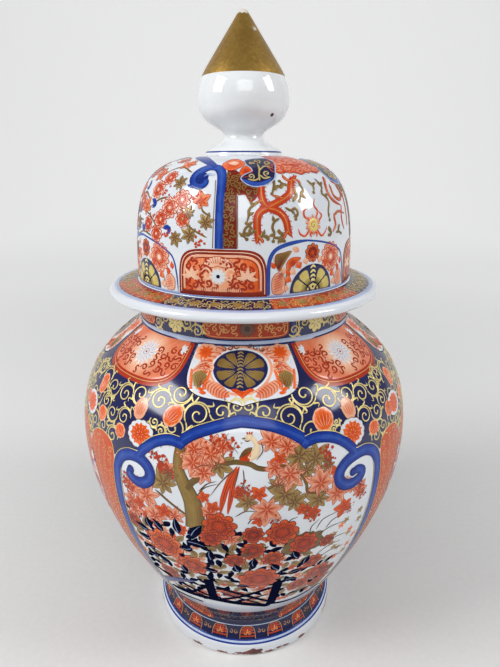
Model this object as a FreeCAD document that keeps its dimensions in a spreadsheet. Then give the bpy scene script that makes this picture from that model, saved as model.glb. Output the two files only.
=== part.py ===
"""A covered porcelain jar: thrown body, domed lid with a locating collar, and pointed finial.

Every piece is turned about the Z axis. Its half section is a sketch in the XZ plane, drawn
from lines and cubic curves whose control points are bound to the sheet of sizes. The origin
is the centre of the foot's resting face, +Z is up, and lengths are in millimetres.
"""
import FreeCAD, Part
import os

import Sketcher

# Driving sizes
SIZES = {
    # Turned foot ring
    "foot_radius": 75.2,
    "foot_height": 10.0,
    "foot_ring_width": 13.0,
    "foot_recess": 10.0,
    "foot_edge": 1.2,
    "waist_inset": 7.4,
    "waist_rise": 18.6,
    # Body of the jar
    "belly_radius": 123.3,
    "belly_rise": 150.0,
    "shoulder_rise": 82.2,
    "jar_wall": 6.5,
    "floor_thickness": 12.0,
    "floor_round": 14.0,
    "heel_wall": 6.0,
    # Neck and mouth
    "neck_radius": 76.4,
    "neck_wall": 6.5,
    "neck_height": 19.6,
    "mouth_edge": 1.2,
    # Lid
    "lid_clearance": 1.2,
    "collar_depth": 16.0,
    "collar_wall": 6.0,
    "collar_edge": 1.5,
    "flange_overhang": 21.0,
    "rim_thickness": 6.6,
    "rim_width": 5.9,
    "flange_rise": 3.1,
    "dome_rise": 82.5,
    "lid_wall": 6.5,
    "crown_margin": 0.5,
    # Finial
    "finial_foot_radius": 26.5,
    "finial_foot_rise": 12.4,
    "stem_radius": 13.3,
    "bulb_radius": 30.8,
    "bulb_rise": 22.0,
    "cone_radius": 23.4,
    "cone_start_rise": 21.0,
    "cone_rise": 31.0,
    "tip_radius": 2.8,
    "tip_rise": 1.5,
}

# Curve handles, as shares of the rise or of the width that their curve spans
FOOT_HANDLE_SHARES = {"inward": 0.60, "upward": 0.27, "end": 0.45}
BELLY_HANDLE_SHARES = {"start": 0.02, "end": 0.45}
SHOULDER_HANDLE_SHARES = {"start": 0.614, "outward": 0.51, "downward": 0.218}
INNER_SHOULDER_DROP_SHARE = 0.42
DOME_HANDLE_SHARES = {"start": 0.72, "end": 0.897, "droop": 0.0485}
RIM_SHARES = {"lower": 0.45, "upright": 0.62, "crest": 0.63, "lift": 0.91}
QUARTER_ROUND_SHARE = 0.5523
FINIAL_FOOT_SHARES = {"edge": 0.48, "inward": 0.50}
STEM_HANDLE_SHARES = {"start": 0.246, "end": 0.745}
BULB_HANDLE_SHARES = {"start": 0.22, "end": 0.32}
TIP_HANDLE_SHARES = {"start": 0.024, "end": 0.45}
# How near an edge must lie to its expected place to be the one meant
EDGE_MATCH_SHARE = 0.01


class Length:
    """A length together with the expression that gives it from the sheet of sizes."""

    def __init__(self, value, text):
        self.value = value
        self.text = text

    def __add__(self, other):
        return Length(self.value + other.value, f"({self.text} + {other.text})")

    def __sub__(self, other):
        return Length(self.value - other.value, f"({self.text} - {other.text})")

    def __mul__(self, share):
        return Length(self.value * share, f"({self.text} * {share})")


ZERO = Length(0.0, "0")


def size(name):
    """A driving size: its value, and the name of the sheet cell that holds it."""
    return Length(SIZES[name], f"Sizes.{name}")


class Section:
    """A closed half section in a body's XZ plane, drawn point by point round the wall."""

    def __init__(self, body, name, start):
        self.sketch = body.newObject("Sketcher::SketchObject", name)
        plane = next(item for item in body.Origin.OriginFeatures if item.Role == "XZ_Plane")
        self.sketch.AttachmentSupport = [(plane, "")]
        self.sketch.MapMode = "FlatFace"
        self.start = start
        self.here = start
        self.edges = []

    def bind(self, geometry, end, point):
        """Hold one end or centre of a piece of geometry at (radius, height)."""
        for kind, axis, length in (("DistanceX", -2, point[0]), ("DistanceY", -1, point[1])):
            if length.value == 0:
                self.sketch.addConstraint(Sketcher.Constraint("PointOnObject", geometry, end, axis))
                continue
            index = self.sketch.addConstraint(
                Sketcher.Constraint(kind, -1, 1, geometry, end, length.value))
            name = f"{kind.lower()}_{index}"
            self.sketch.renameConstraint(index, name)
            self.sketch.setExpression(f".Constraints.{name}", length.text)

    def add_edge(self, shape, target):
        """Add an edge that starts where the last one ended, and hold its start there."""
        edge = self.sketch.addGeometry(shape, False)
        self.bind(edge, 1, self.here)
        if self.edges:
            self.sketch.addConstraint(Sketcher.Constraint("Coincident", self.edges[-1], 2, edge, 1))
        self.edges.append(edge)
        self.here = target
        return edge

    def line(self, radius, height):
        """A straight edge to (radius, height)."""
        target = (radius, height)
        self.add_edge(Part.LineSegment(vector(self.here), vector(target)), target)

    def curve(self, first, second, target):
        """A cubic curve to the target, led by two control points."""
        poles = [vector(point) for point in (self.here, first, second, target)]
        shape = Part.BSplineCurve()
        shape.buildFromPolesMultsKnots(poles, [4, 4], [0, 1], False, 3)
        edge = self.add_edge(shape, target)
        before = self.sketch.GeometryCount
        self.sketch.exposeInternalGeometry(edge)
        self.bind(before + 1, 3, first)
        self.bind(before + 2, 3, second)

    def close(self):
        """Join the last edge back to the start with a straight one, and solve."""
        self.line(*self.start)
        self.sketch.addConstraint(
            Sketcher.Constraint("Coincident", self.edges[-1], 2, self.edges[0], 1))
        self.sketch.Document.recompute()
        return self.sketch


def vector(point):
    """The sketch position of a (radius, height) pair."""
    return FreeCAD.Vector(point[0].value, point[1].value, 0)


def revolve(body, name, section):
    """Turn a half section once round the Z axis."""
    feature = body.newObject("PartDesign::Revolution", name)
    feature.Profile = section.close()
    feature.ReferenceAxis = (feature.Profile[0], ["V_Axis"])
    feature.Angle = 360
    section.sketch.Visibility = False
    body.Document.recompute()


def bevel_rings(body, name, rings, width_name):
    """Bevel the circular edges that lie at the given (radius, height) pairs."""
    base = body.Tip
    tolerance = size("foot_edge").value * EDGE_MATCH_SHARE
    names = []
    for number, edge in enumerate(base.Shape.Edges, 1):
        if not isinstance(edge.Curve, Part.Circle):
            continue
        for radius, height in rings:
            near_radius = abs(edge.Curve.Radius - radius.value) < tolerance
            near_height = abs(edge.Curve.Center.z - height.value) < tolerance
            if near_radius and near_height:
                names.append(f"Edge{number}")
    if len(names) != len(rings):
        raise RuntimeError(f"{name}: found {len(names)} of {len(rings)} edges")
    bevel = body.newObject("PartDesign::Chamfer", name)
    bevel.Base = (base, names)
    bevel.setExpression("Size", size(width_name).text)
    body.Document.recompute()


# Heights and radii shared by the pieces
WAIST_RADIUS = size("foot_radius") - size("waist_inset")
WAIST_Z = size("foot_height") + size("waist_rise")
BELLY_Z = WAIST_Z + size("belly_rise")
NECK_ROOT_Z = BELLY_Z + size("shoulder_rise")
MOUTH_Z = NECK_ROOT_Z + size("neck_height")
BORE_RADIUS = size("neck_radius") - size("neck_wall")
DOME_BASE_Z = MOUTH_Z + size("rim_thickness") + size("flange_rise")
CROWN_Z = DOME_BASE_Z + size("dome_rise")
CROWN_RADIUS = size("finial_foot_radius") + size("crown_margin")


def belly_handles(foot, belly):
    """Control points of the lower wall: off the foot, then a long swell into the belly."""
    rise = belly[1] - foot[1]
    return ((foot[0], foot[1] + rise * BELLY_HANDLE_SHARES["start"]),
            (belly[0], belly[1] - rise * BELLY_HANDLE_SHARES["end"]))


def shoulder_handles(belly, neck_root):
    """Control points of the shoulder: upright at the belly, then a slope in to the neck."""
    rise = neck_root[1] - belly[1]
    width = belly[0] - neck_root[0]
    return ((belly[0], belly[1] + rise * SHOULDER_HANDLE_SHARES["start"]),
            (neck_root[0] + width * SHOULDER_HANDLE_SHARES["outward"],
             neck_root[1] - rise * SHOULDER_HANDLE_SHARES["downward"]))


def dome_handles(base, crown):
    """Control points of the dome: upright at its base, then nearly level at the crown."""
    rise = crown[1] - base[1]
    width = base[0] - crown[0]
    return ((base[0], base[1] + rise * DOME_HANDLE_SHARES["start"]),
            (crown[0] + width * DOME_HANDLE_SHARES["end"],
             crown[1] - rise * DOME_HANDLE_SHARES["droop"]))


def make_jar_body(doc):
    """The jar: foot ring, waist, swelling body, shoulder and upright neck."""
    body = doc.addObject("PartDesign::Body", "JarBody")
    foot = size("foot_radius")
    foot_top = size("foot_height")
    ring_inner = foot - size("foot_ring_width")
    waist = (WAIST_RADIUS, WAIST_Z)
    belly = (size("belly_radius"), BELLY_Z)
    neck_root = (size("neck_radius"), NECK_ROOT_Z)

    wall = Section(body, "WallSection", (ring_inner, ZERO))
    wall.line(foot, ZERO)
    wall.line(foot, foot_top)
    wall.curve((foot - size("waist_inset") * FOOT_HANDLE_SHARES["inward"],
                foot_top + size("waist_rise") * FOOT_HANDLE_SHARES["upward"]),
               (WAIST_RADIUS, WAIST_Z - size("waist_rise") * FOOT_HANDLE_SHARES["end"]),
               waist)
    wall.curve(*belly_handles(waist, belly), belly)
    wall.curve(*shoulder_handles(belly, neck_root), neck_root)
    wall.line(size("neck_radius"), MOUTH_Z)

    # The inside, from the mouth down to the floor
    inner_root = (BORE_RADIUS, NECK_ROOT_Z - size("jar_wall") * INNER_SHOULDER_DROP_SHARE)
    inner_belly = (size("belly_radius") - size("jar_wall"), BELLY_Z)
    floor_z = size("foot_recess") + size("floor_thickness")
    heel = (WAIST_RADIUS - size("heel_wall"), floor_z + size("floor_round"))
    square = size("floor_round") * (1 - QUARTER_ROUND_SHARE)
    shoulder_first, shoulder_second = shoulder_handles(inner_belly, inner_root)
    belly_first, belly_second = belly_handles(heel, inner_belly)
    wall.line(BORE_RADIUS, MOUTH_Z)
    wall.line(*inner_root)
    wall.curve(shoulder_second, shoulder_first, inner_belly)
    wall.curve(belly_second, belly_first, heel)
    wall.curve((heel[0], floor_z + square), (heel[0] - square, floor_z),
               (heel[0] - size("floor_round"), floor_z))
    wall.line(ZERO, floor_z)
    wall.line(ZERO, size("foot_recess"))
    wall.line(ring_inner, size("foot_recess"))
    revolve(body, "ThrownWall", wall)

    bevel_rings(body, "FootEdges", [(foot, ZERO), (ring_inner, ZERO), (foot, foot_top)],
                "foot_edge")
    bevel_rings(body, "MouthEdges", [(size("neck_radius"), MOUTH_Z), (BORE_RADIUS, MOUTH_Z)],
                "mouth_edge")
    body.Label = "jar_body"
    return body


def make_lid_cover(doc):
    """The lid: rolled rim and sloping flange, dome, and the collar that drops into the neck."""
    body = doc.addObject("PartDesign::Body", "LidCover")
    collar_outer = BORE_RADIUS - size("lid_clearance")
    collar_inner = collar_outer - size("collar_wall")
    collar_foot = MOUTH_Z - size("collar_depth")
    rim_radius = size("neck_radius") + size("flange_overhang")
    rim_inner = rim_radius - size("rim_width")
    rim_top = MOUTH_Z + size("rim_thickness")
    dome_base = (size("neck_radius"), DOME_BASE_Z)
    crown = (CROWN_RADIUS, CROWN_Z)

    wall = Section(body, "WallSection", (collar_inner, collar_foot))
    wall.line(collar_outer, collar_foot)
    wall.line(collar_outer, MOUTH_Z)
    # The rolled rim: a quarter round below and a flatter roll above
    lower = size("rim_thickness") * RIM_SHARES["lower"]
    upper = size("rim_thickness") - lower
    square = lower * (1 - QUARTER_ROUND_SHARE)
    wall.line(rim_radius - lower, MOUTH_Z)
    wall.curve((rim_radius - square, MOUTH_Z), (rim_radius, MOUTH_Z + square),
               (rim_radius, MOUTH_Z + lower))
    wall.curve((rim_radius, MOUTH_Z + lower + upper * RIM_SHARES["upright"]),
               (rim_inner + size("rim_width") * RIM_SHARES["crest"],
                MOUTH_Z + size("rim_thickness") * RIM_SHARES["lift"]),
               (rim_inner, rim_top))
    wall.line(*dome_base)
    wall.curve(*dome_handles(dome_base, crown), crown)
    wall.line(ZERO, CROWN_Z)

    # The inside of the dome, stepping in to the collar
    inner_crown = (CROWN_RADIUS, CROWN_Z - size("lid_wall"))
    inner_base = (size("neck_radius") - size("lid_wall"), DOME_BASE_Z)
    dome_first, dome_second = dome_handles(inner_base, inner_crown)
    wall.line(ZERO, inner_crown[1])
    wall.line(*inner_crown)
    wall.curve(dome_second, dome_first, inner_base)
    wall.line(collar_inner, MOUTH_Z + size("flange_rise"))
    revolve(body, "ThrownWall", wall)

    bevel_rings(body, "CollarEdges",
                [(collar_outer, collar_foot), (collar_inner, collar_foot)], "collar_edge")
    body.Label = "lid_cover"
    return body


def make_lid_finial(doc):
    """The finial: spreading foot, pinched stem, swelling bulb and straight cone to the tip."""
    body = doc.addObject("PartDesign::Body", "LidFinial")
    foot = size("finial_foot_radius")
    foot_rise = size("finial_foot_rise")
    stem = (size("stem_radius"), CROWN_Z + foot_rise)
    bulb = (size("bulb_radius"), stem[1] + size("bulb_rise"))
    cone = (size("cone_radius"), bulb[1] + size("cone_start_rise"))
    tip = (size("tip_radius"), cone[1] + size("cone_rise"))
    top = (ZERO, tip[1] + size("tip_rise"))
    taper = cone[0] - tip[0]

    solid = Section(body, "TurnedSection", (ZERO, CROWN_Z))
    solid.line(foot, CROWN_Z)
    solid.curve((foot, CROWN_Z + foot_rise * FINIAL_FOOT_SHARES["edge"]),
                (stem[0], CROWN_Z + foot_rise * FINIAL_FOOT_SHARES["inward"]), stem)
    solid.curve((stem[0], stem[1] + size("bulb_rise") * STEM_HANDLE_SHARES["start"]),
                (bulb[0], bulb[1] - size("bulb_rise") * STEM_HANDLE_SHARES["end"]), bulb)
    solid.curve((bulb[0], bulb[1] + size("cone_start_rise") * BULB_HANDLE_SHARES["start"]),
                (cone[0] + taper * BULB_HANDLE_SHARES["end"],
                 cone[1] - size("cone_rise") * BULB_HANDLE_SHARES["end"]), cone)
    solid.line(*tip)
    solid.curve((tip[0] - taper * TIP_HANDLE_SHARES["start"],
                 tip[1] + size("cone_rise") * TIP_HANDLE_SHARES["start"]),
                (tip[0] * TIP_HANDLE_SHARES["end"], top[1]), top)
    revolve(body, "TurnedSolid", solid)
    body.Label = "lid_finial"
    return body


def make_sheet(doc):
    """The sheet of driving sizes, one row each, with the name as the cell's alias."""
    sheet = doc.addObject("Spreadsheet::Sheet", "Sizes")
    for row, (name, value) in enumerate(SIZES.items(), 1):
        sheet.set(f"A{row}", name)
        sheet.set(f"B{row}", str(value))
        sheet.setAlias(f"B{row}", name)
    doc.recompute()


def check_and_write(doc, bodies):
    """Stop on any failed object or shape, then write each piece under its own name."""
    doc.recompute()
    for item in doc.Objects:
        if "Invalid" in item.State or "Error" in item.State:
            raise RuntimeError(f"{item.Name} failed: {item.State}")
    for body in bodies:
        if body.Shape.isNull() or not body.Shape.isValid() or len(body.Shape.Solids) != 1:
            raise RuntimeError(f"{body.Label} has no single valid solid")
    os.makedirs("parts", exist_ok=True)
    for body in bodies:
        body.Shape.exportStep(f"parts/{body.Label}.step")
        print(f"{body.Label}: {body.Shape.Volume / 1000:.1f} cm3, box {body.Shape.BoundBox}")


def main():
    doc = FreeCAD.newDocument("CoveredJar")
    make_sheet(doc)
    bodies = [make_jar_body(doc), make_lid_cover(doc), make_lid_finial(doc)]
    check_and_write(doc, bodies)


main()
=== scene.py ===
import math

import bpy
import numpy as np
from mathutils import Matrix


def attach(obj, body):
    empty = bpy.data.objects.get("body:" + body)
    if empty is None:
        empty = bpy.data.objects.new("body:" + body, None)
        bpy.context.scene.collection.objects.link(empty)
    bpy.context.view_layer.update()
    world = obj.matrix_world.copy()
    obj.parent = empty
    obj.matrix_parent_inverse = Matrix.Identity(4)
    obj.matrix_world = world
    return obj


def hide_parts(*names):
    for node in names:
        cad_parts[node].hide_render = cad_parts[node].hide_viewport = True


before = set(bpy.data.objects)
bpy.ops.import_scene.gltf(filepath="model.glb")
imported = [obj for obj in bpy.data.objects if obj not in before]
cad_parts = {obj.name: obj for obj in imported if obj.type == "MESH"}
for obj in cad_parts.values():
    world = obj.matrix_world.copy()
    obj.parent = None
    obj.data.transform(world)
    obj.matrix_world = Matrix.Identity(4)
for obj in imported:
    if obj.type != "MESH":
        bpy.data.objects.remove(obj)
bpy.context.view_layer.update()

MM = 0.001
GRAIN_RADIUS = 76
TURN = 2 * math.pi
SIDEWAYS = (-1, 1)
ONCE, HALVES, THIRDS, QUARTERS, FIFTHS, TWENTIETHS = (tuple(range(0, 360, 360 // n)) for
    n in (1, 2, 3, 4, 5, 20))


# The turned walls

def straight(start, end, count=2):
    """Evenly spaced points from start to end, each start + t (end - start)."""
    t = np.linspace(0, 1, count)[:, None]
    return np.array(start) * (1 - t) + np.array(end) * t


def bent(start, first, second, end, count=18):
    """A cubic curve: the four points weighted by (1-t)^3, 3t(1-t)^2, 3t^2(1-t) and t^3."""
    t = np.linspace(0, 1, count)[:, None]
    points = [np.array(p, float) for p in (start, first, second, end)]
    return ((1 - t) ** 3 * points[0] + 3 * t * (1 - t) ** 2 * points[1] + 3 * t ** 2 * (1 - t) *
        points[2] + t ** 3 * points[3])


def pair(x, y):
    """x and y side by side, as points."""
    return np.stack(np.broadcast_arrays(x, y), -1)


def rows(width, *numbers):
    """Numbers written one after the other, as rows of that width."""
    return np.reshape(numbers, (-1, width))


def path(*numbers):
    """Points written x, y, x, y and so on."""
    return rows(2, *numbers)


def polar(out, angle, squash=1):
    """Points at the distance out and an angle: out cos a, and squash times out sin a."""
    out = np.asarray(out)
    return pair(out * np.cos(angle), out * np.sin(angle) * squash)


def run_of(line):
    """The distance along a line, at each of its points."""
    return np.concatenate([[0], np.cumsum(np.hypot(*np.diff(line, axis=0).T))])


def joined(*runs):
    """The runs of points end to end, without the points that come twice."""
    points = np.concatenate(runs)
    keep = np.hypot(*np.diff(points, axis=0).T) > 1e-3
    return points[np.concatenate([[True], keep])]


BELLY_LOW = ((67.8, 28.6), (67.8, 31.6), (123.3, 111.1), (123.3, 178.6))
BELLY_HIGH = ((123.3, 178.6), (123.3, 229.07), (100.32, 242.88), (76.4, 260.8))
DOME = ((76.4, 290.1), (76.4, 349.5), (71.31, 368.6), (27, 372.6))

JAR_SIDE = joined(straight((75.2, 1.6), (75.2, 10), 5), bent((75.2, 10), (70.76, 15.02), (67.8, 20.23),
    (67.8, 28.6), 16), bent(*BELLY_LOW, 60), bent(*BELLY_HIGH, 40),
    straight((76.4, 260.8), (76.4, 279.2), 8))
LID_SIDE = joined(bent((97.4, 283.37), (97.4, 285.62), (95.22, 286.41), (91.5, 287), 10),
    straight((91.5, 287), (76.4, 290.1), 8), bent(*DOME, 60))
FINIAL_SIDE = joined(bent((26.5, 372.6), (26.5, 378.55), (13.3, 378.8), (13.3, 385), 18),
    bent((13.3, 385), (13.3, 390.41), (30.8, 390.61), (30.8, 407), 24),
    bent((30.8, 407), (30.8, 411.62), (29.99, 418.08), (23.4, 428), 24),
    straight((23.4, 428), (2.8, 459), 24), bent((2.8, 459), (2.31, 459.74), (1.26, 460.5), (0, 460.5), 6))


class Wall:
    """A wall turned about +Z, from its side line. way is the distance along that line in mm."""

    def __init__(self, line):
        self.radius, self.height = line.T
        self.way = run_of(line)
        across, upward = np.gradient(self.radius, self.way), np.gradient(self.height, self.way)
        size = np.hypot(across, upward)
        self.out_radius, self.out_height = upward / size, -across / size

    def way_of(self, height):
        return np.interp(height, self.height, self.way)

    def radius_of(self, way):
        return np.interp(way, self.way, self.radius)

    def place(self, turn, way, lift):
        """Points at azimuth turn (0 is the front, 90 is +X), lifted off the wall along its normal."""
        radius = self.radius_of(way) + lift * np.interp(way, self.way, self.out_radius)
        height = np.interp(way, self.way, self.height) + lift * np.interp(way, self.way, self.out_height)
        angle = np.radians(turn)
        return np.stack([radius * np.sin(angle), -radius * np.cos(angle), height], -1) * MM

    def along(self, places, count):
        """Azimuths and ways of a smooth line through places, which are azimuth and height."""
        turn, height = np.transpose(places)
        return smooth(pair(turn, self.way_of(height)), count).T


JAR = Wall(JAR_SIDE)
LID = Wall(LID_SIDE)
FINIAL = Wall(FINIAL_SIDE)


# Meshes

def net(rows, columns, wrap, poles):
    """Numbers of the grid points kept, and the quads and triangles between them. wrap joins the
    last column to the first; a pole is a row drawn together into one point."""
    number = np.arange(rows * columns).reshape(rows, columns)
    if poles[0]:
        number[0] = number[0, 0]
    if poles[1]:
        number[-1] = number[-1, 0]
    if wrap:
        number = np.concatenate([number, number[:, :1]], 1)
    faces = np.stack([number[:-1, :-1], number[:-1, 1:], number[1:, 1:], number[1:, :-1]], -1)
    faces = faces.reshape(-1, 4)
    first = faces[:, 0] == faces[:, 1]
    last = faces[:, 2] == faces[:, 3]
    used = np.unique(faces)
    quads = np.searchsorted(used, faces[~first & ~last])
    tris = np.concatenate([faces[first & ~last][:, [0, 2, 3]], faces[last & ~first][:, :3]])
    return used, quads, np.searchsorted(used, tris)


def write_piece(name, body, slot, material, points, quads, tris, tone, grain):
    """Puts the arrays into a mesh, with tone as an attribute and grain as the UV map Brush."""
    mesh = bpy.data.meshes.new(name)
    corners = np.concatenate([quads.ravel(), tris.ravel()]).astype(np.int32)
    sizes = np.concatenate([np.full(len(quads), 4), np.full(len(tris), 3)]).astype(np.int32)
    mesh.vertices.add(len(points))
    mesh.vertices.foreach_set("co", points.ravel())
    mesh.loops.add(len(corners))
    mesh.loops.foreach_set("vertex_index", corners)
    mesh.polygons.add(len(sizes))
    mesh.polygons.foreach_set("loop_start", (np.cumsum(sizes) - sizes).astype(np.int32))
    mesh.polygons.foreach_set("loop_total", sizes)
    mesh.update(calc_edges=True)
    mesh.shade_smooth()
    mesh.attributes.new("tone", "FLOAT", "POINT").data.foreach_set("value", tone.astype(np.float32))
    layer = mesh.uv_layers.new(name="Brush")
    layer.data.foreach_set("uv", grain[corners].ravel().astype(np.float32))
    mesh.materials.append(material)
    piece = bpy.data.objects.new(name, mesh)
    bpy.context.scene.collection.objects.link(piece)
    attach(piece, body)
    return piece


def turned(name, body, slot, material, line, around=256):
    """A side line carried round +Z: x = r sin a, y = -r cos a. Ends on the axis become poles."""
    angle = np.linspace(0, TURN, around, endpoint=False)[None]
    radius, height = line[:, :1], line[:, 1:]
    points = np.stack([radius * np.sin(angle), -radius * np.cos(angle), height + 0 * angle], -1) * MM
    keep, quads, tris = net(len(line), around, True, (line[0, 0] < 1e-6, line[-1, 0] < 1e-6))
    grain = pair(angle * GRAIN_RADIUS, run_of(line)[:, None])
    return write_piece(name, body, slot, material, points.reshape(-1, 3)[keep], quads, tris,
        np.full(len(keep), 0.5), grain.reshape(-1, 2)[keep])


NO_QUADS, NO_TRIS = np.zeros((0, 4), int), np.zeros((0, 3), int)

# Level of each coat of colour above the glaze: where its edge ends and where its top is, in mm
COATS = ((-0.02, 0.05), (0.02, 0.11), (0.08, 0.17), (0.14, 0.23), (0.20, 0.29), (0.26, 0.35),
    (0.32, 0.41), (0.38, 0.47))


class Coat:
    """All brushwork of one colour at one level of one wall. It becomes one piece. Each patch lies
    a little above the one laid before it, starting again after 180, so that no two that overlap
    share a plane."""

    laid, all = 0, []

    def __init__(self, name, wall, pigment, level, rounds=ONCE):
        self.name, self.wall, self.pigment, self.rounds = name, wall, pigment, rounds
        self.under, self.top = COATS[level]
        self.parts, self.count = [], 0
        Coat.all.append(self)

    def step(self):
        Coat.laid += 1
        return 0.0003 * (Coat.laid % 180)

    def put(self, turn, way, lift, quads, tris, tone, grain):
        """Adds points and the faces between them, at each azimuth of rounds."""
        for around in self.rounds:
            self.parts.append((self.wall.place(turn + around, way, lift), quads + self.count,
                tris + self.count, np.broadcast_to(tone, turn.shape), grain))
            self.count += len(turn)

    def lay(self, turn, way, rise, tone, grain=None, wrap=False, pole=False):
        """A patch on a grid: azimuth and way, lifted by under + (top - under) rise. It is turned
        over where its columns run the wrong way."""
        turn, way, rise, tone = np.broadcast_arrays(turn, way, rise, tone)
        across = np.radians(turn) * self.wall.radius_of(way)
        grain = np.stack(np.broadcast_arrays(*(grain or (across, way)), turn)[:2], -1)
        right, up = np.diff(across, axis=1)[:-1], np.diff(way, axis=0)[:, :-1]
        side = np.diff(way, axis=1)[:-1] * np.diff(across, axis=0)[:, :-1]
        if (right * up - side).sum() < 0:
            turn, way, rise, tone, grain = (a[:, ::-1] for a in (turn, way, rise, tone, grain))
        keep, quads, tris = net(*turn.shape, wrap, (pole, False))
        lift = self.under + (self.top - self.under) * rise + self.step()
        turn, way, lift, tone = (a.ravel()[keep] for a in (turn, way, lift, tone))
        self.put(turn, way, lift, quads, tris, tone, grain.reshape(-1, 2)[keep])

    def flat(self, turn, way, quads, tone):
        """Flat strips at the coat's top level."""
        turn, way, tone = (a.ravel() for a in np.broadcast_arrays(turn, way, tone))
        self.put(turn, way, self.top + self.step(), quads.reshape(-1, 4), NO_TRIS, tone,
            pair(np.radians(turn) * self.wall.radius_of(way), way))

    def write(self):
        if self.parts:
            slot, material = PIGMENTS[self.pigment]
            body = "jar" if self.wall is JAR else "lid"
            write_piece(self.name, body, slot, material, *(np.concatenate(a) for a in zip(*self.parts)))


def coats(wall, rounds, *rows):
    """Coats of one wall at the same azimuths, each given by its name, pigment and level."""
    return [Coat(name, wall, pigment, level, rounds) for name, pigment, level in rows]


# Brushwork

class Spot:
    """A place on a wall. Marks are drawn there with x to the right and y up, in mm."""

    def __init__(self, wall, turn, height, lean=0, size=1):
        self.wall, self.turn, self.way = wall, turn, wall.way_of(height)
        self.lean, self.size = math.radians(lean), size

    def lay(self, x, y):
        """x and y turned by lean; way is the spot's way + y, azimuth its azimuth + x / radius."""
        x, y = x * self.size, y * self.size
        across = math.cos(self.lean) * x - math.sin(self.lean) * y
        way = self.way + math.sin(self.lean) * x + math.cos(self.lean) * y
        return self.turn + np.degrees(across / self.wall.radius_of(way)), way

    def round(self, out, angle, squash=1, centre=(0, 0)):
        """Places at the distance out and an angle from a centre."""
        return self.lay(centre[0] + out * np.cos(angle), centre[1] + out * np.sin(angle) * squash)

    def near(self, x, y, lean=0, size=1):
        """Another spot, x and y away from this one."""
        turn, way = self.lay(np.float64(x), np.float64(y))
        other = Spot(self.wall, float(turn), 0, 0, self.size * size)
        other.way = float(way)
        other.lean = self.lean + math.radians(lean)
        return other


def graded(count, shares, values):
    """Values along a line, given at shares of its length."""
    return np.interp(np.linspace(0, 1, count), shares, values)


def smooth(points, count):
    """A line through the points: between two of them a cubic whose slopes are those between
    their neighbours."""
    points = np.array(points, float)
    slope = np.gradient(points, axis=0)
    t = np.linspace(0, len(points) - 1, count)
    i = np.minimum(t.astype(int), len(points) - 2)
    f = (t - i)[:, None]
    return ((2 * f ** 3 - 3 * f ** 2 + 1) * points[i] + (f ** 3 - 2 * f ** 2 + f) * slope[i] + (
        3 * f ** 2 - 2 * f ** 3) * points[i + 1] + (f ** 3 - f ** 2) * slope[i + 1])


SIDES = np.array([-1, -0.72, 0, 0.72, 1])
SIDES_RISE = np.array([0, 1, 1, 1, 0])


def ribbon(coat, turn, way, width, tone=0.5, closed=False):
    """A band along a path: each point moved square to the path by v times half the width,
    v from -1 to 1. Its tone is given along it, or along and across it."""
    radius = coat.wall.radius_of(way)
    if closed:
        right = np.roll(turn, -1) - np.roll(turn, 1)
        up = np.roll(way, -1) - np.roll(way, 1)
    else:
        right, up = np.gradient(turn), np.gradient(way)
    right = np.radians(right) * radius
    size = np.hypot(right, up) + 1e-9
    half = np.broadcast_to(width, turn.shape)[None] / 2 * SIDES[:, None]
    x, y = -up / size * half, right / size * half
    along = np.concatenate([[0], np.cumsum(size[1:])])[None]
    tone = np.asarray(tone, float)
    if tone.ndim == 1 and len(tone) == 5:
        tone = tone[:, None]
    coat.lay(turn[None] + np.degrees(x / radius), way[None] + y, SIDES_RISE[:, None], tone,
        grain=(half, along), wrap=closed)


def swell(count, start, end):
    """Width shares along a stroke: rising from the start as the root of the distance over the
    share start, and falling to the end in the same way."""
    t = np.linspace(0, 1, count)
    rise = np.clip(t / max(start, 1e-6), 0, 1) ** 0.5
    fall = np.clip((1 - t) / max(end, 1e-6), 0, 1) ** 0.5
    return np.maximum(np.minimum(rise, fall), 0.12)


def stroke(coat, spot, points, width, tone=0.5, count=None, taper=(0.15, 0.4)):
    """One brush stroke through the points, at a spot."""
    count = count or 6 * len(points)
    turn, way = spot.lay(*smooth(points, count).T)
    ribbon(coat, turn, way, width * spot.size * swell(count, *taper), tone)


def line_at(coat, places, width, tone=0.5, count=None, taper=None):
    """A stroke through places given as azimuth and height."""
    turn, way = coat.wall.along(places, count or 7 * len(places))
    ribbon(coat, turn, way, width * swell(len(turn), *taper) if taper else width, tone)


RINGS = np.array([0, 0.35, 0.7, 0.93, 1])
RINGS_RISE = np.array([1, 1, 1, 0.9, 0])


def blot(coat, spot, reach, tone=(0.7, 0.3), around=24, squash=1, centre=(0, 0)):
    """A patch round its middle: the distance out is ring times reach, which is a length or a
    function of the angle. Its tone goes from the middle to the rim."""
    angle = np.linspace(0, TURN, around, endpoint=False)[None]
    out = RINGS[:, None] * (reach(angle) if callable(reach) else reach)
    shade = tone[0] + (tone[1] - tone[0]) * RINGS[:, None] ** 1.5
    coat.lay(*spot.round(out, angle, squash, centre), RINGS_RISE[:, None], shade, wrap=True, pole=True,
        grain=(angle * np.max(out), out))


def rim(coat, spot, reach, width, tone=0.5, around=40, squash=1):
    """A closed line at the distance reach round a spot."""
    angle = np.linspace(0, TURN, around, endpoint=False)
    turn, way = spot.round(reach(angle) if callable(reach) else reach, angle, squash)
    ribbon(coat, turn, way, width, tone, closed=True)


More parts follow.
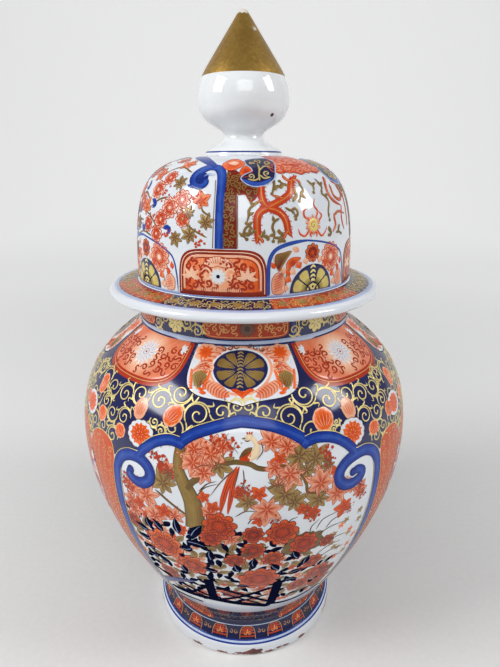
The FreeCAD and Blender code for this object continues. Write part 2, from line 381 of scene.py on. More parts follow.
def shape_at(coat, places, tone=(0.7, 0.3), edge=None, width=0.5, edge_tone=0.5, around=48):
    """A filled shape whose smooth outline runs through the places, azimuth and height. It is
    drawn from the middle out to the outline at each angle, with a line of the coat edge round it."""
    middle = np.mean(places, 0)
    spot = Spot(coat.wall, float(middle[0]), float(middle[1]))
    count = len(places)
    line = np.array(list(places) + list(places[:3]), float)
    way = coat.wall.way_of(line[:, 1])
    x = np.radians(line[:, 0] - spot.turn) * coat.wall.radius_of(way)
    x, y = smooth(pair(x, way - spot.way), 8 * (count + 2) + 1)[8:8 * (count + 1)].T
    angle, out = np.arctan2(y, x), np.hypot(x, y)
    order = np.argsort(angle)
    reach = lambda a: np.interp(a, angle[order], out[order], period=TURN)
    blot(coat, spot, reach, tone, around)
    if edge:
        rim(edge, spot, reach, width, edge_tone, around)
    return spot


def lobed(size, lobes, depth, turn=0):
    """Reach with round lobes: size (1 - depth + depth |cos(lobes (a - turn) / 2)|)."""
    return lambda a: size * (1 - depth + depth * np.abs(np.cos(lobes * (a - turn) / 2)) ** 0.7)


def fringed(size, teeth, depth, seed=0):
    """Reach with an uneven fringe: two waves of the angle, teeth and 1.7 teeth to the turn."""
    def reach(a):
        wave = np.sin(teeth * a + seed) + 0.6 * np.sin(round(1.7 * teeth) * a + 2.1 * seed)
        return size * (1 - depth * (0.5 + 0.5 * wave))
    return reach


def leaf(coat, spot, length, width, tone=(0.6, 0.4), bend=0, blunt=False):
    """From a base at the spot to a tip along y: half width is width / 2 sin(pi u^0.8), for a blunt
    petal width / 2 sin(pi u^1.5)^0.6, and the middle moves sideways by bend u^2."""
    u, v = np.linspace(0, 1, 8)[:, None], SIDES[None]
    half = width / 2 * (np.abs(np.sin(math.pi * u ** 1.5)) ** 0.6 if blunt else np.sin(math.pi * u ** 0.8))
    turn, way = spot.lay(bend * u ** 2 + v * half, length * u)
    coat.lay(turn, way, SIDES_RISE[None], tone[0] + (tone[1] - tone[0]) * u,
        grain=(v * half * spot.size, length * u * spot.size))


def maple_reach(size, lobes=7):
    """Reach of a hand-shaped leaf: size (0.52 + 0.48 z^1.1) with a zigzag z, shorter below."""
    def reach(a):
        zigzag = 2 * np.abs(((a - math.pi / 2) * lobes / (TURN)) % 1 - 0.5)
        return size * (0.52 + 0.48 * zigzag ** 1.1) * (0.82 + 0.18 * np.sin(a))
    return reach


def strips(count, steps):
    """The quads of flat strips, by strip and step, whose points go by strip, edge and step."""
    number = np.arange(count * 2 * steps).reshape(count, 2, steps)
    return np.stack([number[:, 0, :-1], number[:, 0, 1:], number[:, 1, 1:], number[:, 1, :-1]], -1)


def hairs(coat, spot, start, end, width=0.4, bow=0, tone=0.5):
    """Many fine strokes at a spot, each a flat strip of four faces: from start to end, bowed by
    bow sin(pi t) and thinning to a third."""
    start, end = (np.array(p, float)[:, None] for p in (start, end))
    t = np.linspace(0, 1, 5)[None, :, None]
    run = end - start
    across = run[..., ::-1] * (-1, 1) / (np.hypot(run[..., :1], run[..., 1:]) + 1e-9)
    middle = start + run * t + across * bow * np.sin(math.pi * t)
    half = across * width / 2 * (1 - 0.67 * t)
    edges = np.stack([middle - half, middle + half], 1)
    coat.flat(*spot.lay(edges[..., 0], edges[..., 1]), strips(len(edges), 5), tone)


def rays(coat, spot, near, far, count, start=0, width=0.4, bow=0, tone=0.5):
    """Fine strokes all round a spot, from the distance near to the distance far."""
    way = polar(1, start + TURN * np.arange(count) / count)
    hairs(coat, spot, way * near, way * far, width, bow, tone)


def volute(size, turns=1.3, start=0, hand=1, core=0.16, count=26):
    """A spiral from outside in: radius size (1 - (1 - core) t^0.9), angle start + hand 2 pi turns t."""
    t = np.linspace(0, 1, count)
    return polar(size * (1 - (1 - core) * t ** 0.9), start + hand * TURN * turns * t)


def s_line(bend, steps, hook):
    """An S line in a circle of radius 1: its direction turns by bend |s|^1.4, s from -1 to 1. A
    hook turns by 1.5 bend ((1 + s) / 2)^1.6 instead. With the points come the normals and the
    width shares, thin towards the ends and with a bud at each."""
    s = np.linspace(-1, 1, 40 * (steps - 1) + 1)
    angle = 1.5 * bend * ((1 + s) / 2) ** 1.6 if hook else bend * np.abs(s) ** 1.4
    line = np.cumsum(polar(1, angle), 0)
    line -= (line.min(0) + line.max(0)) / 2
    line /= np.hypot(*line.T).max()
    s, angle, line = s[::40], angle[::40], line[::40]
    share = 1 - 0.45 * np.abs(s) ** 2 + 0.6 * np.exp(-((1 - np.abs(s)) / 0.08) ** 2)
    return line, pair(-np.sin(angle), np.cos(angle)), share


def scrolls(coat, turn, way, size, lean, hand, width, bend, hook, steps=21):
    """Many scrolls at once, each a flat strip of few faces."""
    line, normal, share = s_line(bend, steps, hook)
    turn, way, size, lean, hand = (a.reshape(-1, 1, 1) for a in (turn, way, size, lean, hand))
    half = np.array([[-0.5], [0.5]]) * width * share
    x = line[:, 0] * size + half * normal[:, 0]
    y = (line[:, 1] * size + half * normal[:, 1]) * hand
    up = way + np.sin(lean) * x + np.cos(lean) * y
    across = np.cos(lean) * x - np.sin(lean) * y
    ahead = strips(len(turn), steps)
    coat.flat(turn + np.degrees(across / coat.wall.radius_of(up)), up,
        np.where(hand > 0, ahead, ahead[..., ::-1]), 0.35 + 0.3 * share)


def scroll_field(coat, turn, low, high, pitch, seed, hole=None, share=0.2, fill=0.52):
    """Hooks and S scrolls by turns on a staggered net inside a shape given by its columns, none
    within the hole."""
    rng = np.random.default_rng(seed)
    wall = coat.wall
    low, high = (wall.way_of(h) + 0 * turn for h in (low, high))
    radius = float(wall.radius_of(np.mean(low)))
    step = math.degrees(pitch / radius)
    places = []
    for i, a in enumerate(np.arange(turn[0] + step * 0.5, turn[-1] - step * 0.3, step)):
        start = np.interp(a, turn, low) + pitch * 0.55
        end = np.interp(a, turn, high) - pitch * 0.45
        rows = np.arange(start + (i % 2) * pitch / 2, end, pitch)
        places.append(np.stack([np.full(len(rows), a), rows, np.arange(len(rows)) + i], -1))
    places = np.concatenate(places)
    places[:, 0] += rng.uniform(-0.16, 0.16, len(places)) * step
    places[:, 1] += rng.uniform(-0.16, 0.16, len(places)) * pitch
    if hole:
        across = np.radians(places[:, 0] - hole[0]) * radius
        places = places[np.hypot(across, places[:, 1] - wall.way_of(hole[1])) > hole[2]]
    for hook in (False, True):
        mine = places[places[:, 2] % 2 == hook]
        count = len(mine)
        if count:
            scrolls(coat, mine[:, 0], mine[:, 1], fill * pitch * rng.uniform(0.9, 1.08, count),
                rng.uniform(0, TURN, count), np.where(rng.uniform(size=count) > 0.5, 1, -1),
                share * pitch, 4.2, hook)


# A hook on a stem: how far out each of its points lies, in cores, and how far on, in radians
HOOK = ((0, 0), (0.20, 0.22), (0.42, 0.30), (0.52, 0.10))


def tendrils(coat, centres, hand=1, width=0.85):
    """A wave of tendrils. The stem swings round one centre after the other, at half their
    distance; in each swing a spiral winds in by 1.4 turns to a bud, and hooks stand outside."""
    wall = coat.wall
    places = np.array(centres, float)
    t = np.linspace(0, 1, 14)
    for k, (turn, height) in enumerate(centres):
        spot = Spot(wall, turn, height)
        local = pair(np.radians(places[:, 0] - turn) * wall.radius_of(spot.way),
            wall.way_of(places[:, 1]) - spot.way)
        ends = local[k - 1] if k else -local[1], local[k + 1] if k < len(centres) - 1 else -local[k - 1]
        first, last = (math.atan2(p[1], p[0]) for p in ends)
        size, size_end = (0.5 * math.hypot(*p) for p in ends)
        swing, more = hand * (((last - first) * hand) % TURN), size_end - size
        stroke(coat, spot, polar(size + more * t, first + swing * t), width, 0.5, 26, (0.02, 0.02))
        core = min(size, 1.4 * size_end)
        spiral = volute(core, 1.4, first + 0.3 * hand, hand, 0.15, 30)
        stroke(coat, spot, spiral, width, 0.5, 44, (0.05, 0.05))
        blot(coat, spot, 0.8 * width, (0.6, 0.5), 8, centre=spiral[-1])
        for share in (0.2, 0.5, 0.8):
            hook = [polar(size + more * share + out * core, first + swing * share + on *
                hand) for out, on in HOOK]
            stroke(coat, spot, hook, 1.35 * width, 0.5, 10, (0.02, 0.9))
        hand = -hand


def plateau(rows, columns):
    """Rise of a grid: 0 along its four edges and 1 inside them."""
    return np.pad(np.ones((rows - 2, columns - 2)), 1)


def field(coat, turn, low, high, tone=0.5, rows=12, edge=0.5):
    """A filled shape of columns: at each azimuth from the low edge to the high edge. Its outer
    edge mm sinks under the coat below."""
    turn = turn[None]
    low, high = (coat.wall.way_of(h) + 0 * turn for h in (low, high))
    span = np.maximum(high - low, 1e-6)
    share = np.clip(edge / span, 0, 0.3)
    v = share + (1 - 2 * share) * np.linspace(0, 1, rows)[:, None]
    v = np.concatenate([0 * share, v, 1 + 0 * share])
    turn, way = turn + 0 * v, low + span * v
    coat.lay(turn, way, plateau(*v.shape), tone(coat.wall, turn, way) if callable(tone) else tone)


def band(coat, low, high, tone=0.5, rows=3, edge=0.4, around=192):
    """A ring right round the wall, from one height to another."""
    low, high = coat.wall.way_of(low), coat.wall.way_of(high)
    way = np.concatenate([[low], np.linspace(low + edge, high - edge, rows), [high]])[:, None]
    rise = np.ones(way.shape)
    rise[[0, -1]] = 0
    tone = np.atleast_1d(tone)
    tone = np.interp(np.linspace(0, 1, len(way)), np.linspace(0, 1, len(tone)), tone)[:, None]
    coat.lay(np.linspace(0, 360, around, endpoint=False)[None], way, rise, tone, wrap=True)


class Reserve:
    """A framed shape: half a width in degrees about a centre, between two heights. Its low and
    high edges bow in at the sides as superellipses and may come to a point in the middle."""

    def __init__(self, centre, half, low, high, low_power=0, high_power=0, cusp=0, waist=0.5):
        self.centre, self.half, self.low, self.high = centre, half, low, high
        self.low_power, self.high_power, self.cusp, self.waist = low_power, high_power, cusp, waist

    def edges(self, inset, radius, count=41):
        """Azimuths, low edge and high edge, moved in by inset mm."""
        u = np.sin(np.linspace(-math.pi / 2, math.pi / 2, count))
        size = np.abs(u)
        low, high = self.low + inset, self.high - inset
        meet = high if self.low_power else low
        if self.low_power and self.high_power:
            meet = low + (high - low) * self.waist
        point = self.cusp * np.clip(1 - size / 0.45, 0, 1) ** 2
        bottom, top = low + 0 * u, high + 0 * u
        if self.low_power:
            bow = 1 - (1 - size ** self.low_power) ** (1 / self.low_power)
            bottom = low + (meet - low) * bow - point
        if self.high_power:
            bow = 1 - (1 - size ** self.high_power) ** (1 / self.high_power)
            top = high - (high - meet) * bow + (0 if self.low_power else point)
        return self.centre + (self.half - math.degrees(inset / radius)) * u, bottom, top

    def within(self, coat, inset):
        return self.edges(inset, coat.wall.radius_of(coat.wall.way_of(self.high)))

    def fill(self, coat, inset=0, tone=0.5, rows=10):
        field(coat, *self.within(coat, inset), tone, rows)

    def outline(self, coat, width, inset=0, tone=0.5):
        turn, low, high = self.within(coat, inset)
        closed = bool(self.low_power and self.high_power)
        height = low if self.low_power else high
        if closed:
            turn, height = (np.concatenate([a, b[-2:0:-1]]) for a, b in ((turn, turn), (low, high)))
        ribbon(coat, turn, coat.wall.way_of(height), width, tone, closed)


# Finishes

def colour(red, green, blue):
    """A colour written as 0 to 255 display values, as linear values."""
    c = np.array([red, green, blue]) / 255
    return (*np.where(c <= 0.04045, c / 12.92, ((c + 0.055) / 1.055) ** 2.4), 1)


class Nodes:
    """Places nodes in a tree and joins them."""

    def __init__(self, tree):
        self.tree = tree

    def join(self, start, end):
        self.tree.links.new(start, end)

    def add(self, kind, inputs=None, **settings):
        """A node with its settings, and with numbers or other nodes' outputs at its inputs."""
        node = self.tree.nodes.new("ShaderNode" + kind)
        for key, value in settings.items():
            setattr(node, key, value)
        for key, value in (inputs or {}).items():
            if isinstance(value, bpy.types.NodeSocket):
                self.join(value, node.inputs[key])
            else:
                node.inputs[key].default_value = value
        return node

    def place(self):
        return self.add("TexCoord").outputs["Object"]

    def math(self, operation, first, second, clamp=False):
        return self.add("Math", {0: first, 1: second}, operation=operation, use_clamp=clamp).outputs[0]

    def times(self, first, second, clamp=False):
        return self.math("MULTIPLY", first, second, clamp)

    def plus(self, first, second, clamp=False):
        return self.math("ADD", first, second, clamp)

    def minus(self, first, second):
        return self.math("SUBTRACT", first, second)

    def blend(self, share, first, second):
        return self.add("Mix", {0: share, 6: first, 7: second}, data_type="RGBA").outputs[2]

    def span(self, value, low, high, new_low=0, new_high=1):
        return self.add("MapRange", {0: value, 1: low, 2: high, 3: new_low, 4: new_high}).outputs[0]

    def noise(self, vector, scale, detail=3, rough=0.55):
        return self.add("TexNoise", {"Vector": vector, "Scale": scale, "Detail": detail,
            "Roughness": rough}).outputs[0]

    def away(self, place, spot):
        """The distance from a spot."""
        return self.add("VectorMath", {0: place, 1: spot}, operation="DISTANCE").outputs["Value"]


def group(name, inputs, *outputs):
    """An empty node group with named sockets, and a Nodes to fill it."""
    tree = bpy.data.node_groups.new(name, "ShaderNodeTree")
    for key, value in inputs.items():
        kind = "NodeSocketColor" if isinstance(value, tuple) else "NodeSocketFloat"
        socket = tree.interface.new_socket(name=key, in_out="INPUT", socket_type=kind)
        socket.default_value = value
    for key in outputs:
        kind = "NodeSocketColor" if key == "Color" else "NodeSocketFloat"
        tree.interface.new_socket(name=key, in_out="OUTPUT", socket_type=kind)
    given, out = (tree.nodes.new("NodeGroup" + way) for way in ("Input", "Output"))
    return tree, Nodes(tree), given.outputs, out.inputs


def brush_wash_group():
    """Colour of a brushed wash: pale to deep by tone, uneven by a soft noise, with streaks that
    run along the stroke."""
    tree, n, given, out = group("Brush wash", {"Tone": 0.5, "Pale": (0.8, 0.6, 0.5, 1),
        "Middle": (0.8, 0.3, 0.1, 1), "Deep": (0.4, 0.05, 0.02, 1), "Unevenness": 0.3, "Streaks": 0.3,
        "Pitch": 1}, "Color", "Depth")
    place = n.place()
    brush = n.add("UVMap", uv_map="Brush").outputs[0]
    split = n.add("SeparateXYZ", {0: brush})
    cloud = n.minus(n.noise(place, 95), 0.5)
    line = n.math("DIVIDE", split.outputs[0], given["Pitch"])
    slow = n.times(split.outputs[1], 0.06)
    streak = n.add("CombineXYZ", {0: line, 1: slow})
    hair = n.minus(n.noise(streak.outputs[0], 1.6, 2), 0.5)
    level = n.plus(given["Tone"], n.times(cloud, given["Unevenness"]))
    level = n.plus(level, n.times(hair, given["Streaks"]), clamp=True)
    light = n.span(level, 0, 0.5)
    dark = n.span(level, 0.5, 1)
    first = n.blend(light, given["Pale"], given["Middle"])
    n.join(n.blend(dark, first, given["Deep"]), out["Color"])
    n.join(level, out["Depth"])
    return tree


def glaze_skin_group():
    """The skin of the glaze: a height for its slight waviness, and a mask of fine iron specks."""
    tree, n, given, out = group("Glaze skin", {"Waviness": 0.5, "Scale": 60, "Specks": 0.5},
        "Height", "Speck", "Pooling")
    place = n.place()
    wave = n.noise(place, given["Scale"], 2)
    fine = n.noise(place, n.times(given["Scale"], 9), 1)
    height = n.plus(wave, n.times(fine, 0.12))
    n.join(n.times(height, given["Waviness"]), out["Height"])
    cell = n.add("TexVoronoi", {"Vector": place, "Scale": 105})
    pick = n.math("GREATER_THAN", n.add("SeparateColor", {0: cell.outputs["Color"]}).outputs[0], 0.86)
    dot = n.span(cell.outputs["Distance"], 0.05, 0.10, 1, 0)
    speck = n.times(n.times(dot, pick), given["Specks"], clamp=True)
    n.join(speck, out["Speck"])
    n.join(n.noise(place, 14, 2), out["Pooling"])
    return tree


def wear_group():
    """A mask of rubbed places: 0 where the colour is whole, 1 where it has gone."""
    tree, n, given, out = group("Rubbed wear", {"Amount": 0.4, "Scale": 250}, "Worn", "Height")
    place = n.place()
    grains = n.noise(place, given["Scale"], 4, 0.65)
    patch = n.noise(place, n.times(given["Scale"], 0.12), 2)
    both = n.plus(n.times(grains, 0.6), n.times(patch, 0.4))
    limit = n.minus(0.78, n.times(given["Amount"], 0.4))
    worn = n.times(n.minus(both, limit), 12, clamp=True)
    n.join(worn, out["Worn"])
    n.join(grains, out["Height"])
    return tree


BRUSH_WASH = brush_wash_group()
GLAZE_SKIN = glaze_skin_group()
RUBBED_WEAR = wear_group()


def new_material(name, **shader):
    """A material with a Principled shader whose plain numbers sit on its own sockets."""
    material = bpy.data.materials.new(name)
    material.use_nodes = True
    tree = material.node_tree
    principled = tree.nodes["Principled BSDF"]
    for key, value in shader.items():
        principled.inputs[key.replace("_", " ")].default_value = value
    return material, Nodes(tree), principled


def bump(n, shader, height, strength=0.35, distance=0.0006):
    node = n.add("Bump", {"Height": height, "Strength": strength, "Distance": distance})
    n.join(node.outputs[0], shader.inputs["Normal"])


def glazed(name, base, pool, speck, waviness, specks, roughness, glassy, pit=None):
    """Porcelain glaze: two close whites that pool, fine specks, and a slightly wavy skin. The
    finial's has a dark pit, low on the right of the bulb."""
    material, n, shader = new_material(name, Roughness=roughness, IOR=1.5,
        Coat_Weight=glassy, Coat_Roughness=0.03)
    skin = n.add("Group", {"Waviness": waviness, "Specks": specks}, node_tree=GLAZE_SKIN).outputs
    white = n.blend(skin["Pooling"], colour(*base), colour(*pool))
    tinted, height = n.blend(skin["Speck"], white, colour(*speck)), skin["Height"]
    if pit:
        deep = n.span(n.away(n.place(), pit), 0.0009, 0.0018, 1, 0)
        tinted, height = n.blend(deep, tinted, colour(60, 34, 24)), n.minus(height, deep)
    n.join(tinted, shader.inputs["Base Color"])
    bump(n, shader, height)
    return material


def enamelled(name, pale, middle, deep, uneven=0.3, streaks=0.3, pitch=1, roughness=0.2, metallic=0, wear=0,
        under=None, relief=0.3, sheen=0.5):
    """Brushed colour: the wash by tone, rubbed here and there down to what lies under it."""
    material, n, shader = new_material(name, Roughness=roughness, IOR=1.5, Metallic=metallic,
        Specular_IOR_Level=sheen)
    tone = n.add("Attribute", attribute_name="tone").outputs["Fac"]
    wash = n.add("Group", {"Tone": tone, "Pale": colour(*pale), "Middle": colour(*middle),
        "Deep": colour(*deep), "Unevenness": uneven, "Streaks": streaks, "Pitch": pitch},
        node_tree=BRUSH_WASH).outputs
    skin = n.add("Group", {"Waviness": relief}, node_tree=GLAZE_SKIN)
    paint, height = wash["Color"], skin.outputs["Height"]
    if wear:
        worn = n.add("Group", {"Amount": wear}, node_tree=RUBBED_WEAR).outputs["Worn"]
        paint = n.blend(worn, paint, colour(*under))
        height = n.plus(height, n.times(worn, -0.3))
        if metallic:
            n.join(n.span(worn, 0, 1, metallic, 0), shader.inputs["Metallic"])
    n.join(paint, shader.inputs["Base Color"])
    rough = n.span(wash["Depth"], 0, 1, roughness * 1.15, roughness * 0.85)
    n.join(rough, shader.inputs["Roughness"])
    bump(n, shader, height)
    return material


WHITE = glazed("porcelain_glaze", (226, 229, 232), (208, 214, 221), (92, 70, 48), 0.25, 0.6, 0.1, 0.3)
PIGMENTS = {"white": ("jar_glaze", WHITE)}


def paint(key, slot, *finish, **more):
    """An enamel by the key its coats use, and its slot."""
    PIGMENTS[key] = (slot, enamelled(*finish, **more))


paint("cobalt", "cobalt_blue", "cobalt_ground", (50, 64, 132), (24, 29, 82),
    (11, 13, 42), 0.7, 0.15, 3, 0.12)
paint("blue", "cobalt_blue", "cobalt_band", (76, 112, 186), (26, 58, 148), (11, 24, 84), 0.5,
    0.4, 1.4, 0.12, sheen=0.25)
paint("pale_blue", "cobalt_blue", "cobalt_wash", (196, 208, 226), (136, 158, 204),
    (60, 86, 162), 0.4, 0.3, 1.5, 0.12)
paint("red", "iron_red", "iron_red", (208, 88, 50), (172, 49, 19), (106, 21, 8), 0.4, 0.25, 1, 0.24,
    wear=0.12, under=(220, 140, 106), sheen=0.3)
paint("orange", "iron_red", "orange_wash", (241, 180, 136), (226, 94, 26), (184, 46, 8), 0.4,
    0.6, 0.8, 0.2, sheen=0.3)
paint("peach", "iron_red", "peach_wash", (246, 218, 196), (236, 180, 146),
    (216, 112, 72), 0.35, 0.3, 1, 0.2)
paint("gold", "gilding", "gilt_line", (236, 224, 168), (220, 200, 128), (160, 132, 66), 0.3, 0.3, 0.8, 0.3,
    metallic=0.3, wear=0.1, under=(140, 120, 84))
paint("olive", "gilding", "olive_gilt", (188, 160, 100), (146, 117, 58), (88, 66, 28), 0.45, 0.5, 0.9, 0.32,
    metallic=0.3, wear=0.08, under=(112, 90, 56))
paint("dark", "cobalt_blue", "blue_black", (54, 66, 112), (17, 21, 48), (7, 8, 18),
    0.5, 0.5, 0.9, 0.2, sheen=0)
paint("brown", "iron_red", "brown_line", (140, 98, 66), (100, 58, 34), (54, 28, 17), 0.3, 0.2, 1, 0.25)
paint("brocade", "iron_red", "brocade_orange", (216, 114, 64), (198, 74, 30), (142, 40, 16), 0.5,
    0.2, 1.5, 0.2, sheen=0.3)
paint("tan_gold", "gilding", "tan_gilt", (232, 190, 130), (222, 164, 96), (170, 110, 56), 0.3,
    0.2, 0.8, 0.3, metallic=0.3)
paint("buff", "iron_red", "buff_wash", (230, 208, 172), (214, 180, 134),
    (160, 112, 70), 0.3, 0.3, 0.8, 0.25)
paint("yellow_gold", "gilding", "yellow_gilt", (238, 224, 150), (222, 202, 114), (168, 144, 70), 0.4, 0.5,
    0.8, 0.3, metallic=0.2, wear=0.1, under=(150, 130, 90))
paint("stain", "bare_porcelain", "kiln_stain", (170, 110, 90), (112, 52, 40),
    (66, 26, 22), 0.8, 0.3, 1.5, 0.4)
BARE = enamelled("bare_clay", (214, 204, 190), (190, 172, 150), (136, 96, 66), 0.9,
    0.2, 2, 0.75, relief=1.2)


# The porcelain itself

def quarter(centre, reach, start, end, count=6):
    """An arc about a centre from one angle in degrees to another."""
    a = np.radians(np.linspace(start, end, count))
    return centre + polar(reach, a)


def jar_porcelain():
    """The jar in one closed line: recess, foot, outside, mouth and inside down to the floor."""
    inner_low = bent((116.8, 178.6), (116.8, 114.43), (61.8, 38.85), (61.8, 36), 50)
    inner_high = bent((69.9, 258.07), (93.82, 241.04), (116.8, 227.4), (116.8, 178.6), 34)
    line = joined(straight((0, 10), (61.4, 10), 12), quarter((61.4, 9.2), 0.8, 90, 0, 4),
        straight((62.2, 9.2), (62.2, 1.8), 4), quarter((63.2, 1.8), 1, 180, 270, 6),
        straight((63.2, 0.8), (74.2, 0.8), 6), quarter((74.2, 1.8), 1, -90, 0, 6), JAR_SIDE[2:-1],
        quarter((75.4, 278.9), 1, 0, 90, 6), straight((75.4, 279.9), (70.9, 279.9), 4),
        quarter((70.9, 278.9), 1, 90, 180, 6), straight((69.9, 278.9), (69.9, 258.07), 8), inner_high,
        inner_low, bent((61.8, 36), (61.8, 28.27), (55.53, 22), (47.8, 22), 12),
        straight((47.8, 22), (0, 22), 12))
    piece = turned("jar_porcelain", "jar", "jar_glaze", WHITE, line)
    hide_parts("jar_body")
    ring = joined(straight((63, 3), (63, 0.4), 3), quarter((63.4, 0.4), 0.4, 180, 270, 4),
        straight((63.4, 0), (74, 0), 6), quarter((74, 0.4), 0.4, -90, 0, 4),
        straight((74.4, 0.4), (74.4, 3), 3), straight((74.4, 3), (63, 3), 4))
    turned("foot_ring_clay", "jar", "bare_porcelain", BARE, ring)
    seat = joined(straight((75.6, 278.6), (75.6, 280), 3), quarter((75.2, 280), 0.4, 0, 90, 4),
        straight((75.2, 280.4), (71.1, 280.4), 5), quarter((71.1, 280), 0.4, 90, 180, 4),
        straight((70.7, 280), (70.7, 278.6), 3), straight((70.7, 278.6), (75.6, 278.6), 4))
    turned("mouth_ring_clay", "jar", "bare_porcelain", BARE, seat)


def lid_porcelain():
    """The lid in one closed line: dome inside, seat, flange, rolled rim and dome outside."""
    dome_in = bent((69.9, 290.1), (69.9, 344.82), (67.26, 362.4), (27, 366.1), 40)[::-1]
    line = joined(straight((0, 366.1), (27, 366.1), 6), dome_in, straight((69.9, 290.1), (63.6, 284), 6),
        straight((63.6, 284), (63.6, 281), 3), quarter((64, 281), 0.6, 180, 270, 4),
        straight((64, 280.42), (94.43, 280.42), 12), bent((94.43, 280.4), (96.07, 280.4), (97.4, 281.73),
        (97.4, 283.37), 10), LID_SIDE, straight((27, 372.6), (0, 372.6), 6))
    piece = turned("lid_porcelain", "lid", "lid_glaze", WHITE, line)
    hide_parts("lid_cover")
    collar = joined(straight((68.7, 281), (68.7, 266), 8), quarter((67.6, 265.5), 1.1, 0, -90, 5),
        straight((67.6, 264.4), (63.9, 264.4), 4), quarter((63.9, 265.6), 1.2, -90, -180, 5),
        straight((62.7, 265.6), (62.7, 283.4), 8), straight((62.7, 283.4), (68.7, 283.4), 3),
        straight((68.7, 283.4), (68.7, 281), 2))
    turned("collar_clay", "lid", "bare_porcelain", BARE, collar[::-1])


def finial_porcelain():
    """The finial, closed at the axis above and below."""
    line = joined(straight((0, 372.4), (26.5, 372.4), 5), FINIAL_SIDE)
    piece = turned("finial_porcelain", "lid", "finial_glaze", FINIAL_WHITE, line, 160)
    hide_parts("lid_finial")


def cone_gilding():
    """Matt brownish gold over the point, rubbed through to white at the tip and in one patch."""
    material, n, shader = new_material("cone_gilding", Roughness=0.42, IOR=1.5)
    place = n.place()
    height = n.add("SeparateXYZ", {0: place}).outputs[2]
    grains = n.noise(place, 420, 4, 0.65)
    soft = n.noise(place, 60, 3)
    near_tip = n.span(height, 0.4545, 0.4595)
    patch = n.span(n.away(place, (0.0072, -0.0075, 0.4475)), 0.0005, 0.0045, 0.75, 0)
    near_edge = n.span(height, 0.4206, 0.4218, 0.35, 0)
    rub = n.math("MAXIMUM", n.math("MAXIMUM", near_tip, patch), near_edge)
    rub = n.plus(rub, n.times(n.minus(grains, 0.5), 1.3))
    worn = n.times(n.minus(rub, 0.5), 6, clamp=True)
    gold = n.blend(n.span(soft, 0.35, 0.65), colour(154, 121, 54), colour(182, 147, 72))
    gold = n.blend(n.span(grains, 0.3, 0.7), gold, colour(142, 109, 48))
    n.join(n.blend(worn, gold, colour(214, 208, 196)), shader.inputs["Base Color"])
    n.join(n.span(worn, 0, 1, 0.75, 0), shader.inputs["Metallic"])
    n.join(n.span(worn, 0, 1, 0.42, 0.15), shader.inputs["Roughness"])
    bump(n, shader, grains, 0.4, 0.0003)
    return material


FINIAL_WHITE = glazed("finial_glaze", (232, 233, 233), (222, 226, 229), (110, 84, 60), 0.18, 1, 0.07, 0.4,
    (0.0184, -0.0203, 0.3965))
PIGMENTS["cone"] = ("gilding", cone_gilding())


# Shoulder of the jar

def wheel(blue, gold, lines, spot, size, tall):
    """A roundel: a blue disc, large and small gold wings parted by fine blue rays and a level
    bar, and a column of crescents up the middle. Heights are tall times as large as widths."""
    blot(blue, spot, size, (0.75, 0.7), 48, tall)
    for side in SIDEWAYS:
        for up in SIDEWAYS:
            wing(gold, spot, size, side, up, 0.07, 0.47, tall)
            wing(gold, spot, size, side, up, 0.52, 0.83, tall)
            for k in range(6):
                ends = polar((size * 0.2, size * (0.5 + 0.06 * (k % 2))), 0.12 + 0.235 * k, tall)
                stroke(lines, spot, ends * (side, up), 0.5, 0.8, 5, (0.02, 0.8))
    for k in range(-5, 6):
        y = size * 0.165 * k * tall
        stroke(gold, spot, [(-size * 0.12, y - 0.5), (0, y + size * 0.05),
            (size * 0.12, y - 0.5)], size * 0.07, 0.3, 8)


def wing(coat, spot, size, side, up, start, end, tall=1):
    """A petal of the roundel: between two radii and two angles, its outer corners rounded in."""
    u, v = np.linspace(0, 1, 9)[None], np.linspace(0, 1, 7)[:, None]
    angle = (start + (end - start) * u) * math.pi / 2
    low = 0.20 + 0.10 * np.abs(2 * u - 1) ** 2
    high = 0.92 - 0.09 * np.abs(2 * u - 1) ** 3
    out = size * (low + (high - low) * v)
    turn, way = spot.lay(side * out * np.cos(angle), up * out * np.sin(angle) * tall)
    coat.lay(turn, way, plateau(7, 9), 0.35 + 0.35 * v, grain=(angle * size, out))


def near_heart(turn, height, size):
    """Tone that rises from 0.05 at a flower to 0.95 at size mm from it."""
    def tone(wall, turns, ways):
        away = np.hypot(np.radians(turns - turn) * wall.radius_of(ways), ways - wall.way_of(height))
        return 0.05 + 0.9 * np.clip(away / size, 0, 1) ** 1.3
    return tone


def shoulder():
    """Cobalt ground, and the white and red lappets that hang over it from the neck."""
    ground = Coat("shoulder_ground", JAR, "cobalt", 0)
    band(ground, 193, 261.5, (0.62, 0.55, 0.6, 0.5), 40)
    white, dark = coats(JAR, QUARTERS, ("lappet_white", "white", 1), ("lappet_outline", "dark", 2))
    shape = Reserve(0, 21.5, 236.4, 261, low_power=4.4, cusp=2.6)
    shape.fill(white, rows=16)
    shape.outline(dark, 0.7, 0.3)
    red, peach, lines, gold, pale = coats(JAR, QUARTERS, ("lappet_red", "red", 1),
        ("lappet_peach", "peach", 2), ("lappet_scrolls", "red", 3), ("lappet_gilt", "tan_gold", 3),
        ("lappet_flower", "white", 3))
    shape = Reserve(45, 22.3, 237, 261, low_power=3.4)
    shape.fill(red, rows=16, tone=0.55)
    turn, low, high = shape.edges(3.4, 80)
    field(peach, turn, low, 0 * high + 260.8, near_heart(45, 251.5, 19), rows=20)
    shape.outline(gold, 0.5, 2.2)
    heart = Spot(JAR, 45, 251.5)
    flower_head(pale, lines, heart, 9.5)
    turn, low, high = shape.edges(4, 100)
    scroll_field(lines, turn, low, np.minimum(high, 260.8), 5.5, 7, (45, 251.5, 11), 0.23)
    for side in SIDEWAYS:
        for k in range(5):
            leaf(pale, Spot(JAR, 45 + 17.4 * side, 256.4, side * (36 * k - 150)), 4.4, 2, (0.5, 0.5))


